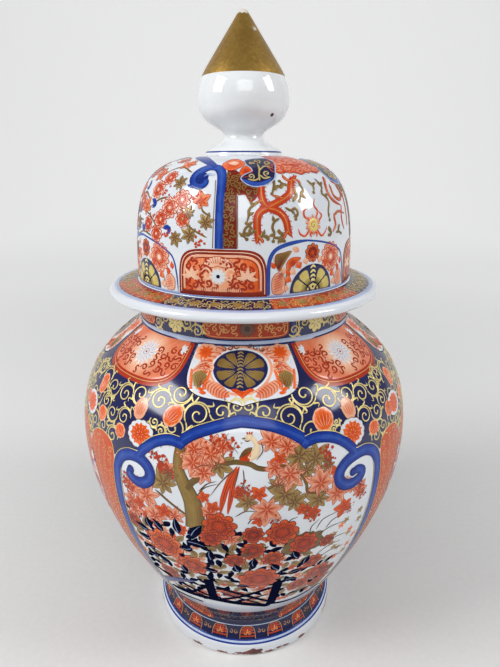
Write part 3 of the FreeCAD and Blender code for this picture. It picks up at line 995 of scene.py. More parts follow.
def flower_head(pale, lines, spot, size):
    """A full flower: pale pointed petals in two rows with fine red lines, and a dark eye."""
    for ring, count in ((1, 15), (0.66, 11)):
        for k in range(count):
            a = 360 * k / count + 12 * ring
            leaf(pale, spot.near(0, 0, a), size * ring * 1.15, size * 0.3, (0.5, 0.5))
    for k in range(15):
        stroke(lines, spot, polar((size * 0.35, size * 0.78), math.radians(24 * k + 6)), 0.4, 0.15, 5)
    rim(lines, spot, size * 0.24, 0.5, 0.3, 20)
    blot(lines, spot, size * 0.1, (0.8, 0.4), 10)


# The side to which each tendril curls, and the azimuth and height of its curls
SHOULDER_TENDRILS = [(1, path(-20.6, 220.8, -13.6, 229, -6.4, 231.4, -1.8, 234.2)),
    (-1, path(20.8, 219.8, 14.2, 227.8, 6.8, 231.2, 2.2, 234.4)), (-1,
    path(-20.4, 238, -27.2, 232.8, -35.4, 233.2, -42.2, 230.4, -49.6, 230.8, -57, 232.6, -64.4, 236)),
    (1, path(20.4, 237.6, 28.2, 233.2, 35.8, 233, 42.4, 230.2, 49.6, 230.6, 56, 233.2)),
    (1, path(-39.4, 218.6, -45.4, 217.4, -50.4, 221.8, -56.8, 220.6)),
    (-1, path(40.8, 218.4, 47, 217.4, 52, 221.6, 58.4, 220.4)), (1, path(-43.4, 204.6, -49.2, 206.8,
    -55.4, 206.4, -60.4, 201.6)), (-1, path(44.4, 203.2, 49, 206.6, 55.6, 207.6, 61.6, 202)),
    (1, [(-27.2, 221.6), (-24.4, 217.8)]), (-1, [(29.2, 220.8), (27.6, 217.4)])]


# Panels of the jar

FRAME_LEFT = path(-40.3, 51, -40.3, 100, -40.3, 150, -40.3, 178, -40, 187, -38.2, 194.5,
    -35, 198.4, -31.4, 198.8, -28.4, 196, -27, 191.4, -27.4, 186.4, -29.6, 182.8, -32.6, 182.6,
    -34.6, 185.4, -34.2, 188.8)
FRAME_RIGHT = path(44.6, 51, 44.6, 100, 44.6, 150, 44.6, 178, 44.2, 187.5, 42.3, 194.8, 38.8, 198.6,
    34.8, 198.6, 31, 196.2, 28.6, 191.4, 28.4, 185.6, 30.2, 181.2, 33.4, 179.8, 36.4, 182, 37, 185.8,
    35.2, 188.2, 33.4, 187.6)
FRAME_TOP = path(-31.4, 199.8, -29.2, 205.6, -25.8, 211.2, -21.6, 214.2, -18.2, 213.8, -16.6, 212.6)
FRAME_CROWN = path(-18.2, 212.9, -16.6, 216.2, -13.4, 220.2, -9, 223.4, -4.8, 225.8, 0.2, 227.5)
FRAME_CROWN_RIGHT = path(-1.6, 227.5, 3.4, 226.6, 8.4, 224.8, 13, 221.4, 17, 216.6, 18.7, 213)
FRAME_TOP_RIGHT = path(16.9, 212.8, 18.3, 214.1, 21.8, 215.4, 26.8, 213.4, 31, 208.2, 34.6, 200.2)


def panels():
    """Three garden panels in blue scrolled frames."""
    white = Coat("panel_white", JAR, "white", 1, THIRDS)
    top = path(-40.3, 190, -39.6, 194, -37.5, 197.5, -34, 198.5, -30.6, 201, -28.4, 206.6,
        -25.2, 211.2, -21.2, 214, -17.6, 213.8, -14, 219, -9.4, 222.6, -4.8, 225, -1, 226.6, 3.6, 226,
        8.6, 224, 13.2, 220.4, 18, 214, 21.8, 214.6, 26.6, 212.6, 30.6, 207.6, 33.4, 202.4, 37.5, 199,
        41.5, 197, 44, 191, 44.6, 186)
    turn = np.concatenate([[-40.4], np.linspace(-40.1, 44.4, 64), [44.7]])
    field(white, turn, 50, np.interp(turn, top[:, 0], top[:, 1]), rows=44)
    blue = Coat("frame_blue", JAR, "blue", 6, THIRDS)
    shade = np.array([1, 0.62, 0.34, 0.62, 1])
    edge = Coat("frame_lines", JAR, "gold", 7, THIRDS)
    for places, inner in ((FRAME_LEFT, -1), (FRAME_RIGHT, 1)):
        turn, way = np.concatenate([JAR.along(places[:4], 40), JAR.along(places[3:], 120)[:, 1:]], 1)
        width = graded(len(turn), [0, 0.5, 0.8, 1], [7.6, 8, 7.8, 5.4])
        ribbon(blue, turn, way, width, shade)
        blot(blue, Spot(JAR, *places[-1]), 2.9, (0.5, 1), 20)
        offset_line(edge, places[:8], inner * -3.9, 0.45)
        offset_line(edge, places[:5], inner * 3.8, 0.45)
    for places, wide, out in ((FRAME_TOP, 6.8, 3.5), (FRAME_TOP_RIGHT, 6.8, 3.5), (FRAME_CROWN, 7.2, 3.7),
            (FRAME_CROWN_RIGHT, 7.2, 3.7)):
        line_at(blue, places, wide, shade, 50)
        offset_line(edge, places[1:-1], out, 0.45)


def offset_line(coat, places, out, width, count=90):
    """A thin line beside a path, out mm to its left."""
    turn, way = coat.wall.along(places, count)
    radius = coat.wall.radius_of(way)
    right, up = np.radians(np.gradient(turn)) * radius, np.gradient(way)
    size = np.hypot(right, up) + 1e-9
    ribbon(coat, turn + np.degrees(-up / size * out / radius), way + right / size * out, width, 0.5)


# Small marks

def dots(coat, places, size=0.9, tone=0.6):
    """Many round berries at once: at every place a fan of eight, its rim sunk under."""
    turn, height = (a[:, None] for a in np.transpose(places))
    k = np.arange(8)
    angle = np.concatenate([[0], TURN * k / 8])
    x, y = (np.broadcast_to(size, len(places))[:, None] * a for a in polar(1, angle).T)
    x[:, 0] = 0
    way = coat.wall.way_of(height) + y
    lift = np.where(np.arange(9) == 0, coat.top + 0.03, coat.under) + 0 * way
    fan = np.stack([0 * k, 1 + k, 1 + (k + 1) % 8], -1) + 9 * np.arange(len(places))[:, None, None]
    turn = turn + np.degrees(x / coat.wall.radius_of(way))
    coat.put(turn.ravel(), way.ravel(), lift.ravel(), NO_QUADS, fan.reshape(-1, 3), tone,
        pair(x, way).reshape(-1, 2))


def maple(fill, veins, spot, size, tone=(0.35, 0.6), lobes=7):
    """A hand-shaped leaf: pointed lobes, a fine outline, and three hairlines up each lobe."""
    blot(fill, spot, maple_reach(size, lobes), tone, 8 * lobes)
    rim(veins, spot, maple_reach(size, lobes), 0.35, 0.45, 8 * lobes)
    a = np.repeat(math.pi / 2 + TURN * np.arange(lobes) / lobes, 3)
    off = np.tile([-0.15, 0, 0.15], lobes)
    far = size * np.tile([0.62, 0.86, 0.62], lobes) * (0.82 + 0.18 * np.sin(a))
    ends = polar(far, a + off)
    hairs(veins, spot, ends * 0.12, ends, 0.38, 0, 0.4)


def peony(fill, lines, spot, size, tone=(0.9, 0.45), rings=((1, 9), (0.72, 7), (0.42, 5))):
    """A full bloom: rings of round petals, each ring outlined, deep at its root, with hairlines."""
    for share, count in rings:
        turn = 2.2 * share
        blot(fill, spot, lobed(size * share, count, 0.24, turn), tone, 6 * count)
        rim(lines, spot, lobed(size * share, count, 0.24, turn), 0.55, 0.95, 6 * count)
        rays(lines, spot, size * share * 0.4, size * share * 0.88, 3 * count, turn, 0.5, 0.3, 0.9)


def blossom(edge, heart, fine, lines, spot, wide, tall):
    """A round blossom: white scalloped petals, an orange heart of two rows of petals."""
    squash = tall / wide
    blot(edge, spot, lobed(wide, 13, 0.08), (0.5, 0.5), 52, squash)
    rim(lines, spot, lobed(wide * 1.01, 13, 0.08), 0.4, 0.6, 60, squash)
    blot(heart, spot, fringed(wide * 0.8, 12, 0.16, wide), (0.85, 0.5), 60, squash)
    for ring, long, count in ((0.40, 0.26, 13), (0.12, 0.16, 7)):
        for k in range(count):
            ends = polar((wide * ring, wide * (ring + long)), TURN * k / count + ring, squash)
            stroke(fine, spot, ends, 0.4, 0.75, 5)


def bud(edge, heart, fine, spot, wide, tall):
    """A bud seen from its side: a pale rim, an orange body, and petal lines that meet below."""
    squash = tall / wide
    blot(edge, spot, lobed(wide, 7, 0.07, 1.2), (0.85, 0.55), 36, squash)
    blot(heart, spot, fringed(wide * 0.9, 7, 0.10, wide), (0.8, 0.4), 40, squash)
    for k in (-2, -1, 0, 1, 2):
        stroke(fine, spot, [(0.10 * k * wide, -0.6 * tall), (0.3 * k * wide, -0.1 * tall),
            (0.34 * k * wide, 0.5 * tall)], 0.4, 0.6, 9, (0.3, 0.6))


# Blossoms and buds of the shoulder: azimuth, height, half width, half height, and each bud's lean
BLOSSOMS = [(-31.4, 212.8, 10.2, 8.8), (34.2, 212.4, 10.4, 9), (-60.6, 213.6, 10.8, 8.6)]
ROUND_BUDS = rows(5, -21.4, 227, 5.8, 7.6, -34, 24.8, 224, 7.2, 7.4, 0, -39.8, 210, 5, 4.8, 0,
    43.8, 209.2, 5.6, 4.8, 0, -50.8, 213.4, 5.6, 5.4, 0, 54.6, 213.8, 5.8, 5.4, 0,
    -56.2, 227.6, 5.2, 6.2, -20, 63.6, 229.4, 5.2, 6.2, 12)
PALE_BUDS = [(-33.4, 226.4, 5, 7.2, -6), (34.8, 225.8, 5.4, 7.2, 8)]


def shoulder_garden():
    """Gold tendrils, white-edged blossoms and orange buds on the cobalt ground."""
    gold = Coat("shoulder_gilt", JAR, "gold", 1, THIRDS)
    for hand, centres in SHOULDER_TENDRILS:
        tendrils(gold, centres, hand)
    edge, heart, fine, lines, pale, veins = coats(JAR, THIRDS, ("blossom_white", "white", 3),
        ("blossom_orange", "orange", 4), ("blossom_rays", "peach", 5), ("blossom_lines", "brown", 4),
        ("bud_peach", "peach", 3), ("bud_lines", "orange", 5))
    for turn, height, wide, tall in BLOSSOMS:
        blossom(edge, heart, fine, lines, Spot(JAR, turn, height), wide, tall)
    for turn, height, wide, tall, lean in ROUND_BUDS:
        bud(pale, heart, fine, Spot(JAR, turn, height, lean), wide, tall)
    for turn, height, wide, tall, lean in PALE_BUDS:
        bud(pale, pale, veins, Spot(JAR, turn, height, lean), wide, tall)


def lappet_garden():
    """The white lappet's roundel, with fans, feathered bodies and flowers on each side of it."""
    blue, gold, spokes, orange, olive, peach, red, brown = coats(JAR, QUARTERS,
        ("roundel_blue", "cobalt", 3), ("roundel_gilt", "olive", 4), ("roundel_lines", "cobalt", 5),
        ("lappet_orange", "orange", 3), ("lappet_olive", "olive", 4), ("lappet_feathers", "peach", 2),
        ("lappet_red_lines", "red", 4), ("lappet_brown_lines", "brown", 5))
    wheel(blue, gold, spokes, Spot(JAR, -0.9, 250.2), 16.6, 0.84)
    rim(peach, Spot(JAR, -0.9, 250.2), 18.8, 1.6, 0.7, 60, 0.86)
    for side in SIDEWAYS:
        fan(olive, brown, orange, Spot(JAR, 15.6 * side, 240.6, -2 * side), 12.8)
        blot(peach, Spot(JAR, 14.2 * side, 250.4), lobed(5.4, 7, 0.2), (0.7, 0.3), 40)
        rays(red, Spot(JAR, 14.2 * side, 250.4), 1, 4.4, 12, 0.3, 0.45, 0.6, 0.5)
        flower = Spot(JAR, 16.2 * side, 256.8, -12 * side)
        blot(peach, flower, lobed(7.4, 7, 0.2), (0.85, 0.5), 40)
        blot(orange, flower, fringed(5.4, 9, 0.34, 1 + side), (0.75, 0.45), 40)
        for k in range(6):
            wing_ = Spot(JAR, (7.4 + 1.7 * k) * side, 258 - 1.4 * k, -side * (70 + 13 * k))
            leaf(peach, wing_, 8.8, 4.2, (0.95, 0.4))
            stroke(red, wing_, [(0, 0), (0.4, 4), (0, 8)], 0.45, 0.4)
        body = Spot(JAR, 4 * side, 238.4, -68 * side)
        leaf(peach, body, 23, 8.6, (0.95, 0.6), -3 * side)
        for k in range(10):
            stroke(red, body.near(-0.02 * side * k * k, 2.2 + 1.9 * k),
                [(-3.4, -0.5), (0, 1), (3.4, -0.5)], 0.5, 0.45, 8)
        for k in range(4):
            leaf(orange, Spot(JAR, (12 + 1.3 * k) * side, 239.4 + 1 * k,
                -side * (86 - 20 * k)), 5, 2.3, (0.7, 0.4))
            leaf(orange, Spot(JAR, (12.2 + 0.4 * k) * side, 253 - 2.4 * k,
                -side * (64 + 8 * k)), 5, 2.1, (0.75, 0.3))
        for k in range(3):
            stroke(brown, Spot(JAR, (3.2 + 2.7 * k) * side, 260 - 0.7 * k),
                volute(2.1, 1, 0.3 + k, side), 0.7, 0.5, 14)
            stroke(red, Spot(JAR, (11.4 + 2.4 * k) * side, 258.4 - 2.4 * k),
                volute(1.8, 0.9, 1.2 * k, -side), 0.5, 0.4, 12)
    for k in range(-4, 5):
        leaf(orange, Spot(JAR, 1 * k, 241.2 + 0.1 * abs(k), 180 - 20 * k),
            5.2 + 0.3 * abs(k), 2.6, (0.9, 0.5))


def fan(fill, lines, fringe, spot, size):
    """A tall olive plume with fine ribs, and small petals along both of its sides."""
    for side in SIDEWAYS:
        for k in range(8):
            leaf(fringe, spot.near(side * size * (0.2 + 0.03 * k), size * (0.06 + 0.11 * k),
                -side * (90 - 9 * k)), size * 0.24, size * 0.14, (0.6, 0.3))
    leaf(fill, spot, size, size * 0.74, (0.6, 0.35), 0, True)
    x = np.array([-0.15, -0.08, 0, 0.08, 0.15])
    hairs(lines, spot, pair(x, 0.15) * size, pair(1.2 * x, 0.86 - 0.8 * np.abs(x)) * size, 0.45, 0, 0.5)


def neck():
    """Cobalt neck with gold tendrils, five red cartouches, and a pale line at its root."""
    band(Coat("neck_ground", JAR, "cobalt", 0), 263.6, 279, (0.45, 0.6), 4)
    band(Coat("neck_line", JAR, "pale_blue", 0), 260.6, 263.4, (0.35, 0.1, 0.45), 5)
    red, gold, tan, dark = coats(JAR, FIFTHS, ("neck_red", "red", 1), ("neck_gilt", "gold", 2),
        ("neck_tan", "tan_gold", 2), ("neck_dark", "dark", 2))
    shape = Reserve(1.5, 20.6, 264.4, 278.9, low_power=7, high_power=6, waist=0.7)
    shape.fill(red, tone=0.42, rows=6)
    shape.outline(tan, 0.5, 1.1)
    shape.outline(dark, 0.6, -0.7)
    blue = Coat("neck_blue", JAR, "blue", 2, FIFTHS)
    for side in SIDEWAYS:
        stroke(blue, Spot(JAR, 1.5 + 23 * side, 264.2), [(0, 0), (0, 14.4)], 1.3, 0.3, 8)
        stroke(tan, Spot(JAR, 1.5 + 24.4 * side, 264.2), [(0, 0), (0, 14.4)], 0.45, 0.5, 8)
    turn, low, high = shape.edges(1.8, 76)
    scroll_field(tan, turn, low, high, 4, 11, (2, 271.5, 6), 0.2)
    heart = Spot(JAR, 2, 271.2)
    flower = Coat("neck_flower", JAR, "brown", 2, FIFTHS)
    blot(flower, heart, fringed(5.8, 11, 0.3, 0.7), (0.1, 0.6), 44)
    blot(Coat("neck_flower_heart", JAR, "brown", 3, FIFTHS), heart,
        fringed(2.6, 7, 0.4, 0.7), (0.9, 0.9), 28)
    tendrils(gold, [(24.8, 268.4), (30.4, 272.6)], 1, 0.8)
    tendrils(gold, [(44.6, 272.6), (50, 268.2)], 1, 0.8)
    bloom = Spot(JAR, 37.6, 271)
    blot(gold, bloom, lobed(6.6, 7, 0.28), (0.2, 0.5), 42)
    petals = Coat("neck_bloom_lines", JAR, "brown", 3, FIFTHS)
    for k in range(7):
        stroke(petals, bloom.near(0, 0, 51.4 * k), [(0, 1.2), (0, 4.4)], 0.45, 0.3, 6)


def brocade():
    """Orange brocade columns between the panels, gold scrolls all over, a white lens on each."""
    ground, gold = coats(JAR, THIRDS, ("brocade_ground", "brocade", 1), ("brocade_gilt", "tan_gold", 2))
    top = path(46.2, 193, 47.2, 199, 50, 202.6, 53.6, 203.4, 57.2, 201.6, 60.2, 196.6, 62.2, 189.4,
        64.2, 196.6, 67.2, 201.6, 70.8, 203.4, 74.4, 202.6, 77.2, 199, 78.2, 193)
    turn = np.linspace(46.3, 78.1, 49)
    high = np.interp(turn, top[:, 0], top[:, 1])
    field(ground, turn, 50, high, 0.5, rows=44)
    line_at(Coat("brocade_edge", JAR, "gold", 2, THIRDS), top, 0.6, 0.5, 90)
    inner = np.linspace(47, 77.4, 49)
    scroll_field(gold, inner, 51, np.interp(inner, top[:, 0], top[:, 1]) - 1, 4.8, 3, None, 0.16)
    lens, inside, rims, leaves = coats(JAR, THIRDS, ("lens_white", "white", 3),
        ("lens_orange", "orange", 4), ("lens_lines", "red", 4), ("lens_leaves", "blue", 4))
    for height, wide, tall in ((156, 8.6, 26), (92, 6.6, 20)):
        spot = Spot(JAR, 62.2, height)
        pointed = lambda a: 1 / (np.abs(np.cos(a)) ** 1.5 + np.abs(np.sin(a)) ** 1.5 + 1e-6) ** (1 / 1.5)
        blot(lens, spot, lambda a: wide * pointed(a), (0.5, 0.5), 48, tall / wide)
        rim(rims, spot, lambda a: wide * pointed(a), 0.8, 0.5, 72, tall / wide)
        peony(inside, rims, spot, wide * 0.7, (0.9, 0.5))
        for k, y in enumerate((-0.62, -0.4, 0.4, 0.62)):
            blot(inside, spot.near((-1) ** k * 1.2, y * tall), fringed(2.8, 5, 0.3, k), (0.8, 0.5), 20)
            leaf(leaves, spot.near((-1) ** k * -1.5, y * tall, (-1) ** k * 40), 5.6, 2.4)


# Garden panel, by azimuth and height: maples with size and lean, berries with their count, peonies
# with size, leaves with length, width and lean. Angles are in degrees, the rest is in mm
MAPLES = rows(4, -13.6, 203.6, 11.4, 15, -8.6, 209.4, 10.6, -15, -10.4, 198.4, 8.8, 60,
    -13.6, 211.4, 7.6, 20, -5.6, 214.2, 6.4, -10, 8.2, 216.4, 8.8, -12, 12.6, 212.6, 8.4, 20,
    13, 197, 10.6, 170, 8.8, 202, 6.4, 150, 22.2, 187.2, 11.4, 10, 27.6, 176.6, 10.8, -40,
    6.6, 175.2, 11.2, 175, -28.6, 174.6, 11.4, 30, -34.4, 177, 8.6, -30, -26.4, 160.4, 9.8, 15,
    -19.8, 164.8, 7.4, -20, -9, 171.6, 7.4, 10, -34.4, 158, 9, 20, 36.4, 171.6, 7.4, -40,
    33.2, 177.6, 6.8, 20, -3.4, 152, 7.4, 40, -21.6, 196.8, 6, 0, -34.6, 166, 7, 80)
RED_MAPLES = rows(4, 10.4, 206.4, 6.4, 100, 4.6, 185.6, 6.8, 40, 31, 164.6, 9.6, 160, 20.4, 167.8, 7.6, 120,
    -22.8, 166.4, 7.4, 70, -10.6, 182.2, 5.2, 20, 16.6, 171.6, 5.8, -70, -1.2, 186.4, 5.4, 0,
    27, 192.4, 5, 90, -8.2, 176, 5.2, -30, -31.4, 166.6, 6.2, 100, 4.4, 167.4, 5.4, 190)
OLIVE_MAPLES = rows(4, -6.6, 203.4, 9.6, -60, 15.8, 206.6, 11.6, 30, 20.6, 203.8, 9.6, -50,
    17.8, 198, 7, 200, -22.6, 187, 10.6, 20, 11.6, 184.2, 11.8, 10, 14.4, 177.8, 8.8, -60,
    1.6, 180.6, 7.8, 60, 21.8, 176.2, 10, 60, -20.6, 193.4, 6.2, -30, 9.6, 191, 6.2, 0, 24.6, 197, 5.6, 30)
BERRIES = rows(3, -26, 204, 12, -23, 200.4, 18, -21.2, 195.4, 14, -4.8, 217.8, 14, -2.4, 213.4, 10,
    -8, 216, 10, 24.2, 206, 16, 24.6, 200.8, 14, 0.6, 190.4, 16, -0.6, 186.2, 10, -35.6, 175.6, 20,
    -37.2, 181.4, 9, 38.4, 167.6, 14, 20.6, 164.2, 12, -30.6, 182, 6, 33.4, 160.6, 8, -36.4, 160.6, 8,
    18, 169.6, 10, 36.6, 176, 8, 9.4, 166.4, 6)
RED_PEONIES = rows(3, -6.6, 162, 11, 3, 155.8, 7, 11.4, 155.6, 10.6, 5.4, 109.4, 14, -9.4, 151.6, 7.4,
    3, 141.6, 8, -2.6, 131.4, 7)
ORANGE_PEONIES = rows(3, -25.4, 136, 13.6, -16.8, 120.6, 10.8, 28.2, 102, 9.8, 21.6, 91.4, 8.6,
    34, 96, 7.4, 33, 83.4, 8.6, 24, 119, 7.4, 27.2, 137.6, 5.8, -36, 148, 6.4, 9.2, 132.4, 7.4,
    -4.4, 87.6, 6.6, -28.6, 101.6, 7.4)
DARK_LEAVES = rows(5, -19.2, 150.4, 15.4, 7.8, 8, -15.6, 150.4, 16, 9.4, -34, -17.2, 145.6, 15.6, 8.6, -100,
    -15.4, 139, 10.6, 9.2, 104, -29.4, 146.8, 12, 8.2, 12, -24.6, 148.6, 12, 8.2, 40,
    -30.4, 143.8, 13, 7.4, 80, -31, 134.6, 12.2, 7.6, 88, -30.6, 126, 11.8, 6.6, 98,
    -30.2, 118, 13, 7.2, 106, -26.2, 113.2, 11.6, 7.4, 60, -20.4, 109, 10.6, 7.4, 10,
    -10, 129.6, 13, 8.4, 4, -8.4, 117, 11.4, 7.8, 74, -1.2, 118.6, 11.4, 8, 20, 3.2, 124.4, 11.4, 8.2, 2,
    11.8, 118, 12.4, 8, 36, 17.8, 127, 12.6, 8.6, 28, 20.2, 118.4, 11.8, 8.2, -14,
    15.4, 111.4, 13, 8.4, -80, 14.6, 103.8, 12, 7.4, -100, -2.6, 100.4, 10.6, 6.4, -84)
OLIVE_LEAVES = rows(5, -6.2, 142.8, 10.4, 7.2, 50, -0.8, 136.4, 10, 7, -70, 18.4, 86.6, 12, 6.6, -80,
    21.6, 79.4, 13, 7, -75, 17.4, 75.6, 12, 6.4, -100, 27.4, 91.4, 10.4, 6, -30, 30.6, 76.4, 11.2, 6, -60,
    14.6, 149.8, 8.4, 5.6, -30, -12.6, 153.6, 8, 5, 60)
GRASS = [[(-2, 170.4), (1, 174.4), (4.6, 173.6)], [(1.4, 164.6), (2.4, 168), (4.2, 169.6)],
    [(12.6, 162.6), (13.8, 165.4), (15.6, 166.4)], [(22, 152.4), (24, 159.6), (29.4, 162)],
    [(25.4, 150.6), (27.8, 156.4), (33.6, 158.4)], [(20, 151), (20.4, 156), (22.6, 160.6)],
    [(-12, 186.2), (-9.6, 191.6), (-7, 193.8)], [(-12.6, 182.4), (-10.4, 188.8), (-6.6, 192.4)],
    [(24.6, 126), (28.6, 130.8), (33.6, 131)], [(25.6, 120), (30.4, 124.2), (36.6, 122.6)],
    [(26.8, 134), (30.6, 137.4), (35, 136.8)], path(6.8, 193.4, 8.4, 191, 7, 189, 6, 191.6),
    [(28.6, 112.6), (33, 114.6), (37.8, 111)], [(-13.6, 200), (-10.4, 203), (-6.6, 201.6)],
    [(-36.2, 128), (-37.8, 131.4), (-37.4, 135.6)], [(23, 146), (27, 150.4), (33, 150.2)]]


def undergrowth_and_shade():
    """Leaves and small blooms set closely on a loose net low in the panel, under the drawn ones. Packed
    this tightly, with a third of them blue-black, they are partly painted shade: they cover the white
    ground where shade falls below the belly.
    """
    dark, olive, orange, pink = (Coat("undergrowth_" + name, JAR, name, 2, THIRDS) for name in ("dark",
        "olive", "orange", "peach"))
    lines = Coat("undergrowth_lines", JAR, "brown", 3, THIRDS)
    rng = np.random.default_rng(12)
    for row, height in enumerate(np.arange(73, 158, 5.6)):
        step = math.degrees(5.8 / JAR.radius_of(JAR.way_of(height)))
        right = np.interp(height, [74, 110, 128, 150, 158], [39, 33, 22, 17, 12])
        left = np.interp(height, [74, 100, 158], [-28, -36.5, -37.5])
        for turn in np.arange(left + (row % 2) * step / 2, right, step):
            spot = Spot(JAR, turn + rng.uniform(-0.8, 0.8), height + rng.uniform(-1.6,
                1.6), rng.uniform(0, 360))
            pick = rng.uniform()
            if pick < 0.36:
                leaf(dark, spot.near(0, -4), rng.uniform(8.5, 11), 4.8, (0.4, 0.9), 0.8)
            elif pick < 0.64:
                leaf(olive, spot.near(0, -4), rng.uniform(8, 10), 5.6, (0.8, 0.35), 0.8)
                hairs(lines, spot, [(0, -3)], [(0.3, 3.4)], 0.4)
            else:
                fill = orange if pick < 0.82 else pink
                size = rng.uniform(3, 4.2)
                blot(fill, spot, lobed(size, 6, 0.3), (0.95, 0.45), 24)
                rays(lines, spot, 0.8, 0.8 * size, 6, 0, 0.35, 0.2)


def garden():
    """What grows in a panel: maple, berries, a long-tailed bird, peonies, leaves and a fence."""
    undergrowth_and_shade()
    olive, pink, orange, dark, red, brown = coats(JAR, THIRDS, ("garden_olive", "olive", 3),
        ("garden_peach", "peach", 3), ("garden_orange", "orange", 3), ("garden_dark", "dark", 5),
        ("garden_red", "red", 4), ("garden_brown", "brown", 4))
    trunk = path(-17.2, 216, -17.9, 206, -17.8, 198, -16.6, 191, -15, 184,
        -13.8, 177, -13.4, 168, -13.8, 158)
    width = graded(60, [0, 0.3, 0.6, 0.8, 1], [6.4, 7.4, 10.4, 12.4, 12])
    line_at(olive, trunk, width, np.array([0.95, 0.6, 0.5, 0.8, 1]), 60)
    for places, wide in (([(-15.4, 186), (-13.8, 191.6), (-11, 195.6)], 4.2),
            (path(-16, 168, -20.2, 173.8, -23.8, 179, -25.4, 181), 1.8),
            (path(-5.6, 204.2, -2, 205.8, 1.8, 204.8, 4.2, 202.2, 7, 201.4, 9.8, 203.4), 3.2),
            (path(8.6, 202.6, 12.4, 201.8, 15.4, 197.6, 17.2, 192), 2.2),
            (path(17, 193, 17.8, 188.4, 18.2, 183.6, 20.8, 181.2, 23.8, 181), 2),
            ([(18.2, 185), (20.6, 187.6), (23, 188)], 1.2)):
        line_at(olive, places, wide, 0.9, taper=(0.05, 0.3))
    for turn, height, size, lean in MAPLES:
        maple(pink, red, Spot(JAR, turn, height, lean), 1.18 * size, (1, 0.6))
    for turn, height, size, lean in OLIVE_MAPLES:
        maple(olive, brown, Spot(JAR, turn, height, lean), 1.12 * size, (0.55, 0.25))
    for turn, height, size, lean in RED_MAPLES:
        maple(orange, red, Spot(JAR, turn, height, lean), size, (0.9, 0.45), 5)
    rng = np.random.default_rng(5)
    places, sizes = [], []
    for turn, height, count in BERRIES:
        count = int(count)
        away = rng.uniform(0, 1, count) ** 0.5 * 5
        angle = rng.uniform(0, TURN, count)
        places.append(pair(turn + away * np.cos(angle) / 2.05, height + 0.9 * away * np.sin(angle)))
        sizes.append(rng.uniform(0.7, 1.15, count))
        rays(brown, Spot(JAR, turn, height), 0.3, 4.4, 6, angle[0], 0.4, 0.3)
    dots(Coat("garden_berries", JAR, "red", 5, THIRDS), np.concatenate(places), np.concatenate(sizes), 0.45)
    bird(Coat("bird_neck", JAR, "buff", 3, THIRDS), olive, orange, red, brown)
    for turn, height, size in RED_PEONIES:
        peony(orange, red, Spot(JAR, turn, height), size, (1, 0.6))
    for turn, height, size in ORANGE_PEONIES:
        peony(orange, red, Spot(JAR, turn, height, 20), size, (0.9, 0.4))
    midribs = Coat("garden_midribs", JAR, "pale_blue", 6, THIRDS)
    ring_bloom = Spot(JAR, 18.7, 141.8)
    ring = Coat("ring_petals", JAR, "olive", 2, THIRDS)
    for k in range(12):
        leaf(ring, ring_bloom.near(0, 0, 30 * k), 14.6 if k % 6 in (2, 3, 4) else 11.4,
            8.4, (0.7, 0.95), 0, True)
    peony(orange, red, ring_bloom, 10, (1, 0.7))
    for turn, height, long, wide, lean in DARK_LEAVES:
        leaf(dark, Spot(JAR, turn, height, lean), 0.9 * long, 0.74 * wide, (0.4, 0.9), 0.8)
        hairs(midribs, Spot(JAR, turn, height, lean), [(0, 1.5)], [(0.3, 0.8 * long)], 0.6, 0.8)
    for turn, height, long, wide, lean in OLIVE_LEAVES:
        leaf(olive, Spot(JAR, turn, height, lean), long, wide, (0.95, 0.6), -0.8)
    for places in GRASS:
        line_at(brown, places, 0.8, 0.75, taper=(0.2, 0.6))
    for k in range(15):
        spot = Spot(JAR, 34.6 + 5.6 * math.sin(2.4 * k), 111 + 3 * k, 30 * k)
        for a in range(5):
            leaf(olive if k % 3 else orange, spot.near(0, 0, 72 * a), 3.3, 1.8, (0.4, 0.4))
    fence(dark)


def bird(cream, olive, orange, red, brown):
    """The long-tailed bird on the branch: crest, curved neck, folded wing and trailing plumes."""
    width = graded(24, [0, 0.35, 0.75, 1], [2.4, 3.2, 5.4, 4])
    line_at(cream, path(2.6, 219.2, 4, 215.4, 3.7, 211.4, 1.9, 207.6), width,
        np.array([0.5, 0.2, 0, 0.2, 0.5]), 24)
    blot(cream, Spot(JAR, 2, 219.4), 2.2, (0.1, 0.4), 18)
    leaf(olive, Spot(JAR, 1, 218.8, 96), 2.6, 1.2, (0.8, 0.8))
    for k in range(3):
        leaf(red, Spot(JAR, 1.6 + 0.45 * k, 220.6, 24 - 22 * k), 2, 1, (0.5, 0.4))
    leaf(orange, Spot(JAR, 2.4, 212.4, 140), 11, 6.4, (1, 1))
    leaf(olive, Spot(JAR, 2.8, 214, 128), 10, 3.8, (0.9, 1))
    for places, wide in ((path(-1.4, 203.4, -3.6, 194.4, -5.2, 183, -6.1, 172.4), 3.6),
            (path(-0.8, 203.4, -2.4, 193.4, -3.2, 183, -4.1, 172), 3)):
        line_at(orange, places, wide, np.array([1, 0.9, 0.6, 0.9, 1]), 26, (0.3, 0.3))
        line_at(red, places, 0.5, 0.9, 20, (0.3, 0.3))
    for places in ([(0.6, 217.8), (1.4, 217.2), (2.2, 217.8)], [(5.2, 217), (5.6, 211.8), (3.8, 206.8)],
            [(-2.2, 201), (-5.8, 193.6), (-8.8, 184)], [(0.2, 201.6), (0.4, 194.6), (-0.6, 187)],
            [(-1.8, 202), (-4.6, 196.6), (-7, 190)], [(-1, 202), (-1.6, 196), (-2.4, 190)]):
        line_at(brown, places, 0.7, 0.5, taper=(0.2, 0.4))


